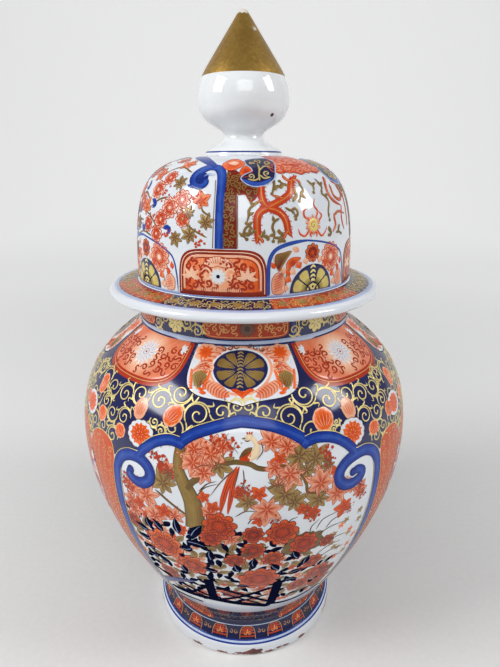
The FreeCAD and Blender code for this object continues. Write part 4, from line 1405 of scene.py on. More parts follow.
def fence(dark):
    """Posts and crossed rails at the foot of the panel, and a slanting blue bank at the left."""
    for places, wide in (([(-12.6, 106), (-12.8, 90), (-12.8, 73.6)], 6.8),
            ([(12.6, 104), (12.4, 84), (12.2, 65)], 6.8), ([(-10.6, 97), (0, 86.6), (11, 72)], 3.2),
            ([(-10.6, 75.6), (-1, 84), (10.6, 96)], 3.2), (path(-35.6, 71.6, -14, 74.4, 2, 69.4,
            12.4, 62.6), 6.4), ([(-39, 98), (-28, 90.4), (-14, 79)], 3.4),
            ([(-25, 74.6), (-19.4, 84), (-13, 98)], 2.8), ([(12, 66), (24, 63.6), (38, 70)], 3.4),
            ([(-41, 57.6), (-30, 62), (-20, 62.6)], 2.6)):
        line_at(dark, places, wide, 0.6, 30, (0.02, 0.02))
    for places in ([(-31, 80.6), (-24, 76.4), (-17, 76)], [(-26, 84), (-21, 79), (-17.2, 78.2)],
            [(-9, 89), (0, 79), (8, 69)], [(-8, 70.8), (0.6, 78), (10, 86)]):
        line_at(dark, places, 1.8, 0.5, 20, (0.1, 0.2))
    bank = path(-44, 66.5, -36.5, 79, -28.5, 90, -18, 99.6)
    line_at(Coat("fence_bank", JAR, "blue", 6, THIRDS), bank, 6, 0.8, 30, (0.02, 0.3))


def foot():
    """The waist: a long band and a short one of red lengths on dark blue, parted by a pale line,
    then the blue lines and the stained edge of the foot."""
    # The ground's deep tone, deeper than the same cobalt on the shoulder, is partly painted shade: the
    # waist lies in shade under the belly.
    band(Coat("waist_ground_and_shade", JAR, "cobalt", 0), 13.6, 51.6, (0.85, 0.8, 0.9), 20)
    band(Coat("waist_line", JAR, "pale_blue", 1), 23.2, 24, 0.15, 3, 0.2)
    blue = Coat("foot_lines", JAR, "blue", 1)
    band(blue, 12.9, 13.8, 0.7, 3, 0.2)
    band(blue, 10.8, 11.8, 0.6, 3, 0.2)
    band(Coat("foot_wash", JAR, "pale_blue", 0), 11.7, 13, (0.1, 0.25), 4, 0.2)
    red, tan, gold = coats(JAR, FIFTHS, ("waist_red", "brocade", 1), ("waist_tan", "tan_gold", 2),
        ("waist_gilt_and_shade", "olive", 1))
    turn = np.concatenate([[-49, -48.6], np.linspace(-47, -23, 21), [-21.4, -21]])
    field(red, turn, 25.6, 49.4, 0.75, rows=12)
    scroll_field(tan, turn, 26, 49, 4.6, 51, None, 0.17)
    # Between the red lengths the gilt scrolls are dull olive, thin and far apart: partly painted shade,
    # dimmed as if the shade under the belly hid them.
    turn = np.linspace(-19.6, 21.6, 30)
    scroll_field(gold, turn, 26, 46, 8.5, 52, None, 0.11)
    small, trim = coats(JAR, TWENTIETHS, ("waist_lappets", "brocade", 1),
        ("waist_lappet_gilt", "tan_gold", 2))
    shape = Reserve(2, 4.6, 14.6, 22.8, high_power=2.8)
    shape.fill(small, tone=0.7, rows=6)
    shape.outline(trim, 0.45, -0.4, 0.6)
    for side in SIDEWAYS:
        stroke(trim, Spot(JAR, 2 + 1.5 * side, 17.6), volute(1.5, 1, 1, side), 0.5, 0.5, 14)
        stroke(trim, Spot(JAR, 11 + 1.7 * side, 18.6), volute(1.8, 1, 2, side), 0.55, 0.8, 14)
    stroke(trim, Spot(JAR, 2, 19), [(0, -1.6), (0, 0.6), (0, 2.2)], 0.7, 0.5, 8)
    stain = Coat("foot_stain", JAR, "stain", 0)
    rng = np.random.default_rng(19)
    for turn in np.concatenate([rng.uniform(-36, 44, 30), rng.uniform(60, 300, 50)]):
        blot(stain, Spot(JAR, turn, rng.uniform(2, 3.4)), fringed(rng.uniform(1, 4.6),
            int(rng.integers(5, 9)), 0.5, turn), (0.8, 0.3), 28, rng.uniform(0.25, 0.45))
    blot(stain, Spot(JAR, 6, 4.2), fringed(8, 5, 0.3, 2), (0.9, 0.5), 36, 0.42)


# Lid

def mirrored(places):
    """The dome repeats by halves, and each half mirrors about azimuth 35."""
    return [(70 - turn, height) for turn, height in places]


def flange():
    """Eight lengths round the flange, cobalt and red by turns, under a pale blue wash."""
    band(Coat("flange_ground", LID, "cobalt", 0), 287.15, 289.95, (0.6, 0.85), 5)
    band(Coat("flange_wash", LID, "pale_blue", 0), 286.55, 287.1, (0.1, 0.55), 4, 0.3)
    red = Coat("flange_red", LID, "brocade", 1, QUARTERS)
    turn = np.concatenate([[11.4, 11.7], np.linspace(13, 55, 30), [56.3, 56.6]])
    field(red, turn, 287.25, 289.85, 0.75, rows=6)
    gold, tan, flowers = coats(LID, QUARTERS, ("flange_gilt", "gold", 2), ("flange_tan", "tan_gold", 2),
        ("flange_flowers", "olive", 3))
    for paint, start, seed in ((gold, -33.4, 23), (tan, 11.6, 24)):
        turn = np.linspace(start, start + 44.6, 30)
        scroll_field(paint, turn, 287.2, 289.9, 3.9, seed, None, 0.2)
        for k in range(5):
            peony(flowers, paint, Spot(LID, start + 4.6 + 8.9 * k, 288.5), 2.8, (0.3, 0.6), ((1, 5),))
    band(Coat("dome_root_line", LID, "pale_blue", 0), 290.35, 292.2, (0.75, 0.1), 4, 0.3)


def dome_lappets():
    """Red lappets with a white flower, and white ones with half a roundel, round the dome's foot."""
    red, ground, lines, peach, fine, white, eye = coats(LID, QUARTERS, ("dome_red", "red", 1),
        ("dome_red_ground", "orange", 2), ("dome_scrolls", "red", 3), ("dome_peach", "peach", 3),
        ("dome_fine_lines", "red", 4), ("dome_flower", "white", 4), ("dome_flower_eye", "dark", 5))
    shape = Reserve(-9.8, 20.9, 291.2, 319.6, high_power=5)
    shape.fill(red, tone=0.85, rows=12)
    shape.fill(ground, 2.9, tone=near_heart(-11, 304, 34), rows=18)
    shape.outline(peach, 0.5, 1.6, 0.3)
    shape.outline(lines, 0.7, 2.8, 0.9)
    shape.outline(peach, 1.5, 3.9, 0.6)
    shape.outline(lines, 0.6, 5, 0.9)
    turn, low, high = shape.edges(5, 76)
    scroll_field(lines, turn, low - 2, high, 4.3, 31, (-11, 304, 7), 0.34, 0.56)
    heart = Spot(LID, -11, 303.6)
    blot(peach, heart, lobed(6.4, 11, 0.16), (0.1, 0.75), 44)
    for k in range(11):
        leaf(white, heart.near(0, 0, 360 / 11 * k), 5.4, 2.3, (0.5, 0.5))
    blot(eye, heart, 1.2, (0.6, 0.9), 14)
    shape_at(peach, path(-18, 309.6, -16, 313.6, -11, 315.6, -6, 313.6, -4, 309.6, -8.4, 309, -11, 310,
        -13.6, 309), (0.6, 0.3), fine, 0.4, 0.4)
    for side in SIDEWAYS:
        stroke(peach, heart.near(7 * side, 0.6), volute(4.4, 1.2, math.pi / 2 - 1.2 * side,
            side) * (0.8, 1.1), 1.7, 0.45, 26)
    x = np.linspace(-1, 1, 9)
    hairs(fine, Spot(LID, -11, 310.6), pair(4.6 * x, 0.8), pair(7.4 * x, 5.2 - 2.6 * x ** 2), 0.4, 0, 0.4)
    x = np.linspace(-1, 1, 24)
    hairs(peach, Spot(LID, -11, 294.6), pair(13.5 * x, 0), pair(13 * x, 2.6 - 0.8 * np.abs(x)), 0.5, 0, 0.3)
    for side in SIDEWAYS:
        for k in range(5):
            leaf(peach, Spot(LID, -11 + 13 * side, 302.6, side * (92 - 46 * k)), 6.8, 3.4, (0.3, 0.6), 0.8)
    blue = Coat("dome_arch", LID, "blue", 2, QUARTERS)
    shade = np.array([0.9, 0.5, 0.3, 0.5, 0.9])
    line_at(blue, path(11.5, 291.6, 11.5, 304, 12.1, 313, 14.7, 318.8, 19.8, 321.7, 27, 323.3, 34, 323.5),
        2.3, shade, 60, (0.02, 0.25))
    line_at(blue, path(31, 323.5, 39.8, 321.8, 48.8, 318.5, 55.5, 313.2, 57.8, 302.8, 58.4, 291.6),
        1.1, shade, 60, (0.02, 0.2))
    disc, wings, spokes = coats(LID, QUARTERS, ("dome_roundel_blue", "cobalt", 3),
        ("dome_roundel_gilt", "yellow_gold", 4), ("dome_roundel_lines", "dark", 5))
    half_wheel(disc, wings, spokes, Spot(LID, 34.4, 292.2), 16.8)
    olive, orange, blush, thin = coats(LID, QUARTERS, ("dome_olive", "olive", 2),
        ("dome_orange", "orange", 2), ("dome_blush", "peach", 2), ("dome_thin_lines", "orange", 3))
    shape_at(olive, path(22.6, 318, 18.5, 317.2, 15, 316, 14.7, 311.7, 16.6, 306, 18.2, 309.4, 20.2, 313.4),
        (0.8, 0.45), lines, 0.35)
    shape_at(orange, path(20.4, 306.6, 20.2, 311, 22.8, 313.9, 27.4, 313.6, 25.6, 311.2, 22.8, 308.6),
        (0.85, 0.35), lines, 0.35)
    peony(orange, lines, Spot(LID, 34, 315.9), 5.6, (0.9, 0.3), ((1, 9), (0.6, 7)))
    peony(blush, thin, Spot(LID, 46.4, 311.8), 9.4, (0.2, 0.5), ((1, 13), (0.74, 11), (0.46, 7)))
    shape_at(blush, path(16.2, 305.6, 18.9, 303, 19.4, 298, 18.4, 292.8, 14, 292.8, 13.1, 298,
        13.7, 303), (1, 0.6), lines, 0.35)
    shape_at(blush, path(53.6, 303, 56.4, 300, 56.6, 296, 55.6, 292.8, 51.8, 292.8, 50.8, 297,
        51.4, 301), (0.9, 0.4), lines, 0.35)
    hairs(fine, Spot(LID, 16.4, 307.4), [(0, 0)] * 7, path(-3.6, 7.4, -2, 8.6, -0.2, 9.2, 1.8, 9.6,
        3.8, 9.8, 5.6, 9.4, 2.8, 6), 0.45, 0.6, 0.9)
    line_at(olive, path(22.4, 308, 20.4, 304.8, 19.8, 299, 19.8, 293), 1, 0.7, 24, (0.1, 0.1))
    line_at(olive, [(48.8, 303), (49.8, 298), (49.8, 293)], 0.8, 0.7, 20, (0.1, 0.1))
    for turn_, height, long, wide, lean, fill in ((26.4, 317.4, 5.4, 3.6, 60, blush),
            (41.6, 317, 5.4, 3.6, -60, blush), (18, 304.2, 5, 3.4, -20, blush),
            (14.6, 308, 4.6, 3, 30, orange), (55.4, 305.6, 5, 3.2, 10, orange),
            (41, 310.4, 5, 3.2, -150, orange), (52.4, 306.4, 5.4, 3.4, 190, orange),
            (21.8, 303, 5, 3.2, 30, orange)):
        leaf(fill, Spot(LID, turn_, height, lean), long, wide, (0.9, 0.4))
    for turn_, height, reach in ((23.4, 310.6, 3.2), (17.4, 303.4, 2.4)):
        rays(lines, Spot(LID, turn_, height), 0.4, reach, 11, turn_, 0.4, 0.6, 0.5)
    x = np.arange(7)
    for turn_ in (16.1, 53.4):
        hairs(lines, Spot(LID, turn_, 294), pair(-2.4, 1.5 * x), pair(2.4, 1.5 * x + 1.6), 0.35, 0, 0.4)
    for k in range(11):
        a = math.radians(16 * k + 10)
        leaf((blush, orange)[k % 2], Spot(LID, 34.4, 292.2).near(17.5 * math.cos(a), 17.5 * math.sin(a),
            16 * k - 80), 4.6, 4.8, (0.8, 0.3), 0, True)


def half_wheel(disc, wings, lines, spot, size):
    """The upper half of the roundel: a dark rim, lined gold wings, crescents up the middle."""
    u = np.linspace(0, math.pi, 33)[None]
    out = size * np.array([0.02, 0.5, 0.9, 0.97, 1])[:, None]
    rise = np.array([1, 1, 1, 1, 0])[:, None]
    disc.lay(*spot.round(out, u), rise, 0.6, grain=(u * size, out))
    a = np.arange(0.12, 1.32, 0.10)
    for side in SIDEWAYS:
        for start, end in ((0.03, 0.40), (0.45, 0.80)):
            wing(wings, spot, size, side, 1, start, end)
        ends = polar(1, a) * (side, 1)
        hairs(lines, spot, ends * 0.28 * size, ends * 0.55 * size, 0.5)
    blot(wings, spot, 0.13 * size, (0.2, 0.4), 16, centre=(0, 0.16 * size))
    blot(lines, spot, 0.05 * size, (0.5, 0.5), 10, centre=(0, 0.16 * size))
    for k in range(4):
        y = size * (0.34 + 0.17 * k)
        stroke(wings, spot, [(-size * 0.13, y), (0, y + size * 0.09), (size * 0.13, y)],
            size * 0.1, 0.2, 10, (0.2, 0.3))


# The dome's frame from its foot up into the curl, its band widths, and the cloud medallion
DOME_BAR = path(-10.6, 320, -10.5, 337, -10.5, 348, -10.6, 356, -11.4, 361.2, -13.6, 364,
    -17, 365, -20.6, 364.9, -24, 363.4, -26, 360.9, -26.2, 358.2, -24.4, 355.9, -21.5, 355.2,
    -19.5, 356.4, -19.4, 358.2)
DOME_BAR_WIDTHS = [5, 5, 5.2, 5.4, 5.7, 6, 6.4, 6.6, 6.8, 7, 6.8, 6.4, 5.6, 4.6, 3.2]
MEDALLION = path(1.2, 368.6, 5, 369.4, 11, 369.9, 18.8, 369.8, 21.6, 367.4, 19.4, 363.8,
    18.2, 361, 16.6, 358.4, 12.4, 355.6, 7.3, 354.4, 2.5, 355.6, -0.9, 358.8, 1.6, 361.2,
    5.2, 362.7, 4.8, 364.6, 2.6, 366.2)


def dome_frames():
    """On each side of a red lappet: the blue frame with its curl, the brocade strip, the clouds."""
    blue, hook, strip, gold, lines, cloud, cloud_blue, cloud_rim, cloud_gold, wash, pale, fine = coats(LID,
        HALVES, ("dome_frame", "blue", 4), ("dome_frame_hook", "pale_blue", 6), ("dome_brocade", "red", 1),
        ("dome_brocade_gilt", "olive", 3), ("dome_frame_lines", "brown", 3), ("dome_cloud", "cobalt", 4),
        ("dome_cloud_blue", "blue", 5), ("dome_cloud_rim", "pale_blue", 5), ("dome_cloud_gilt", "gold", 6),
        ("dome_top_wash", "orange", 2), ("dome_top_peach", "peach", 3), ("dome_top_lines", "red", 4))
    shade = np.array([0.9, 0.5, 0.3, 0.5, 0.9])
    turn = np.linspace(18.5, 51.5, 31)
    low = np.interp(turn, [18.5, 21, 28, 35, 42, 49, 51.5], [364, 361.2, 362.8, 360.8, 362.8, 361.2, 364])
    field(wash, turn, low, 371.6, 1, rows=8)
    ribbon(fine, turn, LID.way_of(low), 0.7, 0.5)
    for flip in (False, True):
        turn_over = mirrored if flip else list
        hand = -1 if flip else 1
        widths = np.interp(np.linspace(0, 14, 100), range(15), DOME_BAR_WIDTHS)
        line_at(blue, turn_over(DOME_BAR), widths, shade[::hand], 100)
        line_at(blue, turn_over(path(-16, 364.8, -24, 367.8, -32, 369.6, -39.5, 370.5, -47, 370.9)),
            np.interp(np.linspace(0, 4, 40), range(5), [4, 5.6, 7, 7.5, 4]), 0.6, 40)
        blot(blue, Spot(LID, *turn_over([(-22.6, 358.9)])[0]), 4.6, (0.8, 0.8), 20)
        line_at(hook, turn_over(path(-15.6, 360.6, -17.5, 361.1, -19.6, 360.8, -21.4, 359.7)), 1.9,
            np.linspace(0, 0.9, 30), 30, (0.02, 0.9))
        for start, end in ((-8.6, -2.6), (-3.6, 8.6)):
            turn = np.linspace(start, end, 24)
            high = np.interp(turn, [-8.6, -3.4, 1.6, 8.6], [363.6, 363.4, 359.8, 356.4])
            low = np.interp(turn, [-3.6, 0.2, 1.8, 2.8, 4, 6, 7.3, 8.6],
                [350.4, 350.6, 350, 347.8, 346.7, 348, 350.7, 353.6])
            if start < -5:
                low = np.full(24, 320)
            if flip:
                turn, high, low = (70 - turn)[::-1], high[::-1], low[::-1]
            field(strip, turn, low, high, 1, rows=20)
            scroll_field(gold, turn, low, high - 0.6, 3.3, 41 + flip, None, 0.22)
        line_at(fine, turn_over(path(-2, 350.1, 0.2, 350.6, 1.8, 350, 2.8, 347.8, 4, 346.7, 6, 348,
            7.3, 350.7, 8.6, 353.6)), 0.8, 0.6, 50)
        line_at(lines, turn_over([(-2.5, 320.2), (-2.4, 336), (-2.5, 349.6)]), 0.9, 0.3)
        line_at(lines, turn_over(path(-13.5, 320.2, -13.3, 332, -13.3, 350, -14, 358)), 0.4, 0.6)
        shape_at(wash, turn_over(path(-13, 366.2, -10, 368.8, -5.8, 369.6, -1, 368.6, 1.6, 366.8,
            -3.5, 363.9, -8.6, 363.4)), (0.95, 0.3), fine, 0.5)
        shape_at(pale, turn_over(path(-9.6, 367.2, -5.8, 368.4, -2.2, 367.4, -5, 366)), (0.2, 0.7))
        bud_ = shape_at(wash, turn_over(path(-1.6, 362.2, 0.6, 365.2, 3.6, 365.5, 5.8, 362.6, 3, 360,
            0, 359.8)), (0.9, 0.4), fine, 0.5)
        rays(fine, bud_, 0.6, 3, 9, 0.4, 0.45, 0.6, 0.5)
        shift = 4 if flip else 0
        place = lambda places: [(a + shift, z) for a, z in turn_over(places)]
        shape_at(cloud, place(MEDALLION), (0.85, 0.7), cloud_rim, 0.6, 0.25, 90)
        line_at(cloud_blue, place(path(-0.2, 358.4, 2.9, 356.7, 7.3, 355.8, 12, 356.8, 16.2, 359.4)),
            2.6, 0.35, 40, (0.3, 0.5))
        for places in (path(8.8, 357.6, 9, 361, 9.8, 364, 9.4, 367), [(9, 359), (6.2, 357.9), (2.6, 358.6)],
                [(9.2, 360.8), (11.6, 358.9), (15, 359.6)], [(9.8, 363.4), (13.6, 365.4), (17.6, 364.6)]):
            line_at(cloud_gold, place(places), 1, 0.7, 20, (0.1, 0.2))
        for turn_, height, size, start, way in ((4.6, 360, 2, -1.2, 1), (13.4, 361.6, 2.3, -1.4, -1),
                (16.8, 367.2, 2.4, -1.6, -1), (9.6, 368.2, 2.6, -1.6, 1), (5.6, 367, 1.8, -0.6, 1)):
            curl = Spot(LID, *place([(turn_, height)])[0])
            stroke(cloud_gold, curl, volute(size, 1.2, start if hand > 0 else math.pi - start,
                way * hand) * (1, 1.15), 0.8, 0.7, 30, (0.1, 0.1))
        for turn_, height, wide in ((20.4, 364.4, 5.2), (24.6, 368, 6.4), (28.4, 364.2, 5.2),
                (32, 368.4, 6.8), (35, 363.4, 4.4)):
            knot = Spot(LID, 70 - turn_ if flip else turn_, height)
            blot(pale, knot, lobed(wide, 5, 0.24, turn_), (0.9, 1), 40, 0.8)
            rim(fine, knot, lobed(wide, 5, 0.24, turn_), 0.9, 0.3, 45, 0.8)
            stroke(fine, knot, volute(wide * 0.6, 1.2, turn_, hand) * (1, 0.8), 0.8, 0.4, 30)


# The dome's beast and ribbons, by their places and width, the gold sprigs and the lotus's streamers
LIMBS = [(path(9.2, 355.4, 9, 350.6, 9.8, 346.4, 12, 343), 4.6), (path(12, 343.2, 15.5, 345.1, 20.2, 347.8,
    23.8, 350.9, 25, 354.6, 27, 358, 31, 360.4), 4.7), ([(19.6, 348), (16.8, 349), (14.2, 349.6)], 1.5),
    (path(11.8, 342.9, 16, 341.3, 18.9, 338.3, 20.4, 334.6, 21, 330.3, 22.8, 326.2), 4.6),
    (path(11.8, 342.9, 8.5, 341.1, 6.9, 338.1, 6.5, 332.9, 6.8, 327.3, 6.2, 322.8), 4.6),
    ([(6.8, 328), (8.6, 325), (9.2, 323.2)], 2), ([(21, 330), (19.4, 327.2), (19.2, 325.2)], 2),
    ([(27, 358), (30.2, 357.6), (31.4, 355.4)], 2), ([(26.4, 357), (23.2, 358.6), (22.2, 361)], 2.2),
    ([(9.6, 347.2), (6.6, 346), (5.4, 343.8)], 1.3), (path(52.5, 359.4, 49.2, 352.2, 51.6, 346,
    60.3, 341.6), 2.6), (path(54, 355, 54.2, 348.4, 60, 345.4, 64, 348.8, 62.4, 354.4, 57, 356.6), 2.4),
    ([(66.4, 351), (66.8, 340.8), (66.2, 328.5)], 2.2), ([(50, 336.2), (55.8, 338.5), (63.2, 336.5)], 1.8),
    ([(50.6, 336), (51.4, 330.6), (48.4, 326.4)], 2.2), ([(60.4, 341.6), (58.6, 334), (60.8, 326.6)], 2)]
SPRIGS = [path(8.2, 346.7, 5.2, 344.7, 3, 341.8, 2.8, 338.6, 1.8, 334.6),
    path(4.6, 331, 2.6, 333, 0.9, 330.6, 0.7, 327.3, 1.9, 325.6), [(1.2, 329.1), (3.5, 328.6),
    (5.2, 330.2)], path(17, 337, 14.5, 335.1, 13.5, 332, 14.3, 328.5, 13.8, 324.1),
    path(14, 326.3, 16.8, 326, 18.2, 328.2, 16.6, 329.9), [(17.5, 326.4), (19, 324)],
    path(20, 343, 23, 341.3, 25.4, 342.3, 26.5, 339.3, 25.2, 336.2),
    path(30.2, 356.5, 31.5, 352.4, 29.8, 349.5, 28.2, 346.2), path(43.2, 349.9, 45.8, 348.3, 47.8, 344.9,
    46, 338.9, 46.5, 334.1), path(16.5, 358.4, 16, 355.3, 15.2, 352.6, 14.3, 350.5),
    path(17.2, 355.3, 19.6, 353.9, 20.8, 355.8, 19.4, 357.4), [(7.6, 327), (9.5, 327.2), (11.4, 325.5)],
    [(36.4, 357.6), (39.2, 354.6), (38.2, 350.6)], [(43, 358.4), (45.6, 354.4), (44.2, 351)],
    [(55.4, 330.6), (54.2, 326.8), (56.6, 324.8)], [(24.2, 346), (27.2, 349), (26.6, 352.4)],
    [(45, 330.4), (47, 327.4), (45.2, 325.2)]]
STREAMERS = [path(36.6, 336, 38.2, 340, 36.4, 343.4, 37.6, 347.2),
    path(33, 335, 30, 337.4, 30, 340.6, 32.2, 341.8), [(38.6, 334.4), (40.6, 337.4), (38.8, 339.8)],
    path(32.4, 329.8, 30, 326.3, 27.2, 327.5, 26.3, 330.6), path(37, 329.4, 39.6, 325.5, 42.3, 327.2,
    43.8, 330.3), [(33.8, 328.4), (32.9, 326.6), (33.5, 325)], [(35.8, 328.2), (36.9, 326.6), (36.3, 325)]]


def dome_beasts():
    """Panel with the branching red beast, red ribbons, gold sprigs and a lotus with streamers."""
    red, orange, ridge, gold, petals, heart, fine = coats(LID, HALVES, ("beast_red", "red", 2),
        ("beast_orange", "orange", 3), ("beast_ridge", "tan_gold", 4), ("beast_gilt", "olive", 3),
        ("lotus_peach", "peach", 2), ("lotus_heart", "yellow_gold", 3), ("lotus_lines", "red", 4))
    for places, wide in LIMBS:
        line_at(red, places, wide, 0.45, 40, (0.04, 0.3))
        line_at(orange, places, wide * 0.56, 0.85, 40, (0.06, 0.4))
        line_at(ridge, places, 0.6, 0.8, 40, (0.1, 0.4))
        if wide > 3:
            for k, (turn, way) in enumerate(LID.along(places, 11).T[1:-1]):
                flame = Spot(LID, turn, 300)
                flame.way = way
                rays(red, flame, wide * 0.3, wide * 0.75, 3, 1.7 * k, 0.9, 0.3, 0.5)
    for k, places in enumerate(SPRIGS):
        line_at(gold, places, 1.6, 0.75, 30, (0.1, 0.3))
        for share, lean in ((1, 60), (-2, -40)):
            turn, height = places[share]
            leaf(gold, Spot(LID, turn, height, lean * (-1) ** k + 30 * k), 3.8, 2.1, (0.8, 0.6), 1.2)
        blot(gold, Spot(LID, *places[-1]), 1.1, (0.7, 0.7), 10)
    lotus = Spot(LID, 34.8, 332.2)
    for k in range(10):
        leaf(petals, lotus.near(0, 0, 36 * k), 6.4, 3.2, (0.3, 0.9))
    blot(heart, lotus, lobed(3.9, 8, 0.2), (0.2, 0.6), 32, 1.1)
    stroke(fine, lotus, volute(2.2, 1.3, 0.5), 0.5, 0.3, 24)
    rays(fine, lotus, 4.2, 6, 20, 0.1, 0.4, 0.2, 0.3)
    for places in STREAMERS:
        line_at(orange, places, 1.3, 0.6, 26, (0.05, 0.5))
        line_at(fine, places, 0.4, 0.3, 26, (0.05, 0.5))


def dome_maples():
    """Panel with maple leaves, blossoms and sprigs, centred at azimuth -55."""
    pink, orange, olive, veins, peony_lines_and_highlight, brown, blue = coats(LID, HALVES,
        ("dome_peony_peach_and_highlight", "peach", 1), ("dome_maple_orange", "orange", 2),
        ("dome_maple_olive", "olive", 2), ("dome_maple_lines", "red", 3), ("dome_peony_lines_and_highlight", "orange", 3),
        ("dome_twigs", "brown", 3), ("dome_blue_leaves", "blue", 3))
    for places in ([(-14.6, 338), (-18.6, 341), (-20, 346)], path(-16, 326, -24, 331, -32, 339, -40, 349),
            [(-27, 333), (-31, 345), (-34, 355)], [(-40, 348), (-47, 346), (-56, 339)],
            [(-30, 362), (-42, 365), (-54, 361)], [(-44, 328), (-52, 336), (-60, 339)],
            [(-56, 346), (-64, 350), (-74, 346)], [(-60, 333), (-68, 333), (-78, 334)],
            [(-76, 342), (-84, 346), (-92, 342)], [(-62, 362), (-72, 366), (-84, 362)],
            [(-50, 324), (-58, 326), (-66, 324)]):
        line_at(olive, places, 1.2, 0.8, 24, (0.1, 0.5))
    # The peonies are washed very pale, with soft orange lines in place of red ones: partly a painted
    # highlight, as if light washed out this part of the dome.
    for turn, height, size in ((-30.4, 347, 7), (-37.5, 342, 7.4), (-43, 335, 6.4), (-29, 336, 5.6),
            (-50, 352, 7), (-65, 344, 7), (-77, 330, 6.6), (-46, 326, 6.2), (-54, 331, 5.6), (-69, 362, 6),
            (-44, 359, 6), (-82, 350, 6.6)):
        peony(pink, peony_lines_and_highlight, Spot(LID, turn, height, 15), 0.9 * size, (0.4, 0))
    for turn, height, size, lean in ((-19.4, 346.4, 7.2, 20), (-38, 366.4, 7.6, 60), (-56, 360, 7.4, 10),
            (-58, 341, 7.6, -30), (-73, 350, 7.4, 20), (-88, 344, 6.6, -20), (-92, 358, 6.2, 10),
            (-80, 366, 6.6, 40), (-52, 368.6, 6.4, 0)):
        maple(orange, veins, Spot(LID, turn, height, lean), size, (0.6, 0.15), 5)
    for turn, height, size, lean in ((-17, 334.4, 6.4, -20), (-24.6, 327, 7, 60), (-34.6, 355.6, 6.2, 10),
            (-33, 325, 6.2, 200), (-85, 328, 6.4, 20), (-94, 334, 5.6, -40), (-66, 330, 6, 70),
            (-74, 338, 5.6, 0), (-25.6, 339.4, 5.2, 40)):
        maple(olive, brown, Spot(LID, turn, height, lean), size, (0.5, 0.2), 7)
    for turn, height, lean in ((-62, 352, 30), (-60, 326, -40), (-48, 344, 70), (-66, 337, 10),
            (-80, 356, -30), (-70, 324, 60), (-36, 331, 100), (-25, 354, 20)):
        leaf(blue, Spot(LID, turn, height, lean), 7, 3.2)
        leaf(blue, Spot(LID, turn, height, lean + 55), 5.6, 2.6)
    rng = np.random.default_rng(53)
    places = [pair(turn + rng.normal(0, 1.7, 12), height + rng.normal(0, 2, 12)) for
        turn, height in ((-23, 348), (-42, 350), (-49, 335), (-70, 340), (-62, 364),
        (-88, 352), (-38, 328), (-20, 324))]
    dots(Coat("dome_berries", LID, "red", 4, HALVES), np.concatenate(places), 0.8, 0.3)


def finial():
    """The finial's painted ring at the foot and its gilded point."""
    band(Coat("finial_line", FINIAL, "blue", 0), 374, 374.9, (0.5, 0.8), 3, 0.2, 128)
    edge = 420.6
    side_ = FINIAL_SIDE[FINIAL_SIDE[:, 1] > edge]
    start = np.interp(edge, FINIAL_SIDE[:, 1], FINIAL_SIDE[:, 0])
    line = np.concatenate([[[start - 0.3, edge - 0.1]], [[start + 0.04, edge + 0.1]],
        side_[:-1] + (0.07, 0.04), [[0, side_[-1, 1] + 0.05]]])
    line = joined(line[:2], *[straight(a, b, 4) for a, b in zip(line[1:-1], line[2:])])
    turned("finial_gilding", "lid", "gilding", PIGMENTS["cone"][1], line, 160)


# The stage

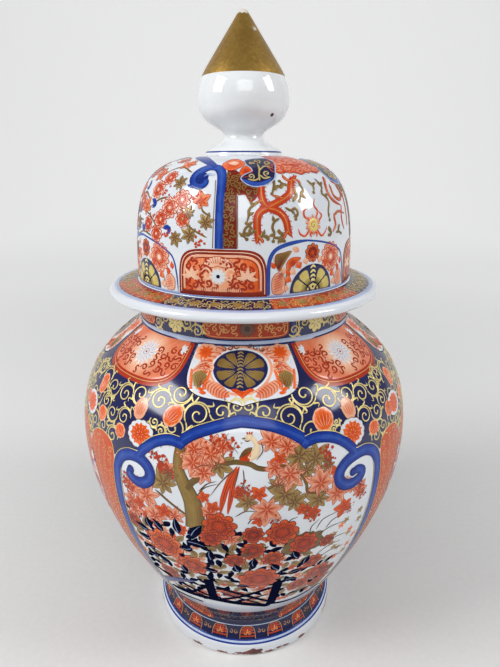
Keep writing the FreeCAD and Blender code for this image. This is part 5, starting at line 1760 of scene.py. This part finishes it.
def stage():
    """A pale floor that curves up behind. The camera and glossy reflections see it paler, further
    out, than the lamps alone would make it."""
    material = bpy.data.materials.new("studio_paper")
    material.use_nodes = True
    n = Nodes(material.node_tree)
    shader = n.tree.nodes["Principled BSDF"]
    shader.inputs["Roughness"].default_value = 0.9
    place = n.place()
    grain = n.span(n.noise(place, 220, 3), 0.3, 0.7)
    n.join(n.blend(grain, (0.70, 0.70, 0.69, 1), (0.73, 0.73, 0.72, 1)), shader.inputs["Base Color"])
    seen = n.add("LightPath").outputs
    share = n.math("MAXIMUM", seen["Is Camera Ray"], seen["Is Glossy Ray"])
    back = n.add("VectorMath", {0: place}, operation="LENGTH").outputs["Value"]
    behind = n.plus(n.span(back, 0.05, 1.4, 0, 0.405), n.span(back, 1.4, 2.2, 0, 0.095))
    n.join(n.times(share, behind), shader.inputs["Emission Strength"])
    shader.inputs["Emission Color"].default_value = (1, 1, 1, 1)
    u = np.linspace(-4, 4, 2)[None]
    bend = quarter((1.6, 1), 1, -90, 0, 14)
    run = joined(straight((-3, 0), (1.6, 0), 3), bend, straight((2.6, 1), (2.6, 4), 2))
    points = np.stack([u + 0 * run[:, :1], run[:, :1] + 0 * u, run[:, 1:] + 0 * u], -1)
    quads = net(len(run), 2, False, (False, False))[1]
    mesh = bpy.data.meshes.new("studio_paper")
    mesh.from_pydata(points.reshape(-1, 3).tolist(), [], quads.tolist())
    mesh.shade_smooth()
    mesh.materials.append(material)
    paper = bpy.data.objects.new("studio_paper", mesh)
    bpy.context.scene.collection.objects.link(paper)


def lamp(name, place, aim, width, height, power):
    light = bpy.data.lights.new(name, "AREA")
    light.shape = "RECTANGLE"
    light.size, light.size_y, light.energy = width, height, power
    holder = bpy.data.objects.new(name, light)
    holder.location = place
    way = np.array(aim, float) - np.array(place, float)
    flat = math.hypot(way[0], way[1])
    holder.rotation_euler = (math.pi / 2 + math.atan2(way[2], flat), 0, math.atan2(-way[0], way[1]))
    bpy.context.scene.collection.objects.link(holder)


def studio():
    """Two soft boxes in front above the shoulders, a weak top light, and a pale world."""
    lamp("soft_box_left", (-0.95, -0.42, 0.95), (0, 0, 0.26), 0.5, 0.6, 11)
    lamp("soft_box_right", (1.05, -0.34, 1), (0, 0, 0.26), 0.4, 0.6, 7.5)
    lamp("soft_box_front", (0.1, -1.3, 1.1), (0, 0, 0.24), 0.9, 0.7, 5)
    world = bpy.data.worlds.new("studio")
    world.use_nodes = True
    world.node_tree.nodes["Background"].inputs[0].default_value = (0.95, 0.96, 1, 1)
    n = Nodes(world.node_tree)
    seen = n.add("LightPath").outputs["Is Camera Ray"]
    n.join(n.span(seen, 0, 1, 0.30, 0.72), world.node_tree.nodes["Background"].inputs[1])
    bpy.context.scene.world = world
    bpy.context.scene.view_settings.view_transform = "Standard"


def camera():
    """The photograph's viewpoint: 369 mm in front and 368 mm up, looking 18.7 degrees down."""
    eye = bpy.data.cameras.new("eye")
    eye.sensor_width, eye.lens = 36, 27.177
    eye.clip_start, eye.clip_end = 0.01, 20
    holder = bpy.data.objects.new("eye", eye)
    holder.location = (0.00435, -0.36907, 0.36752)
    holder.rotation_euler = (math.radians(71.288), 0, 0)
    bpy.context.scene.collection.objects.link(holder)
    bpy.context.scene.camera = holder


camera()
stage()
studio()
jar_porcelain()
lid_porcelain()
finial_porcelain()
shoulder()
shoulder_garden()
lappet_garden()
neck()
panels()
garden()
brocade()
foot()
flange()
dome_lappets()
dome_frames()
dome_beasts()
dome_maples()
finial()
for one in Coat.all:
    one.write()
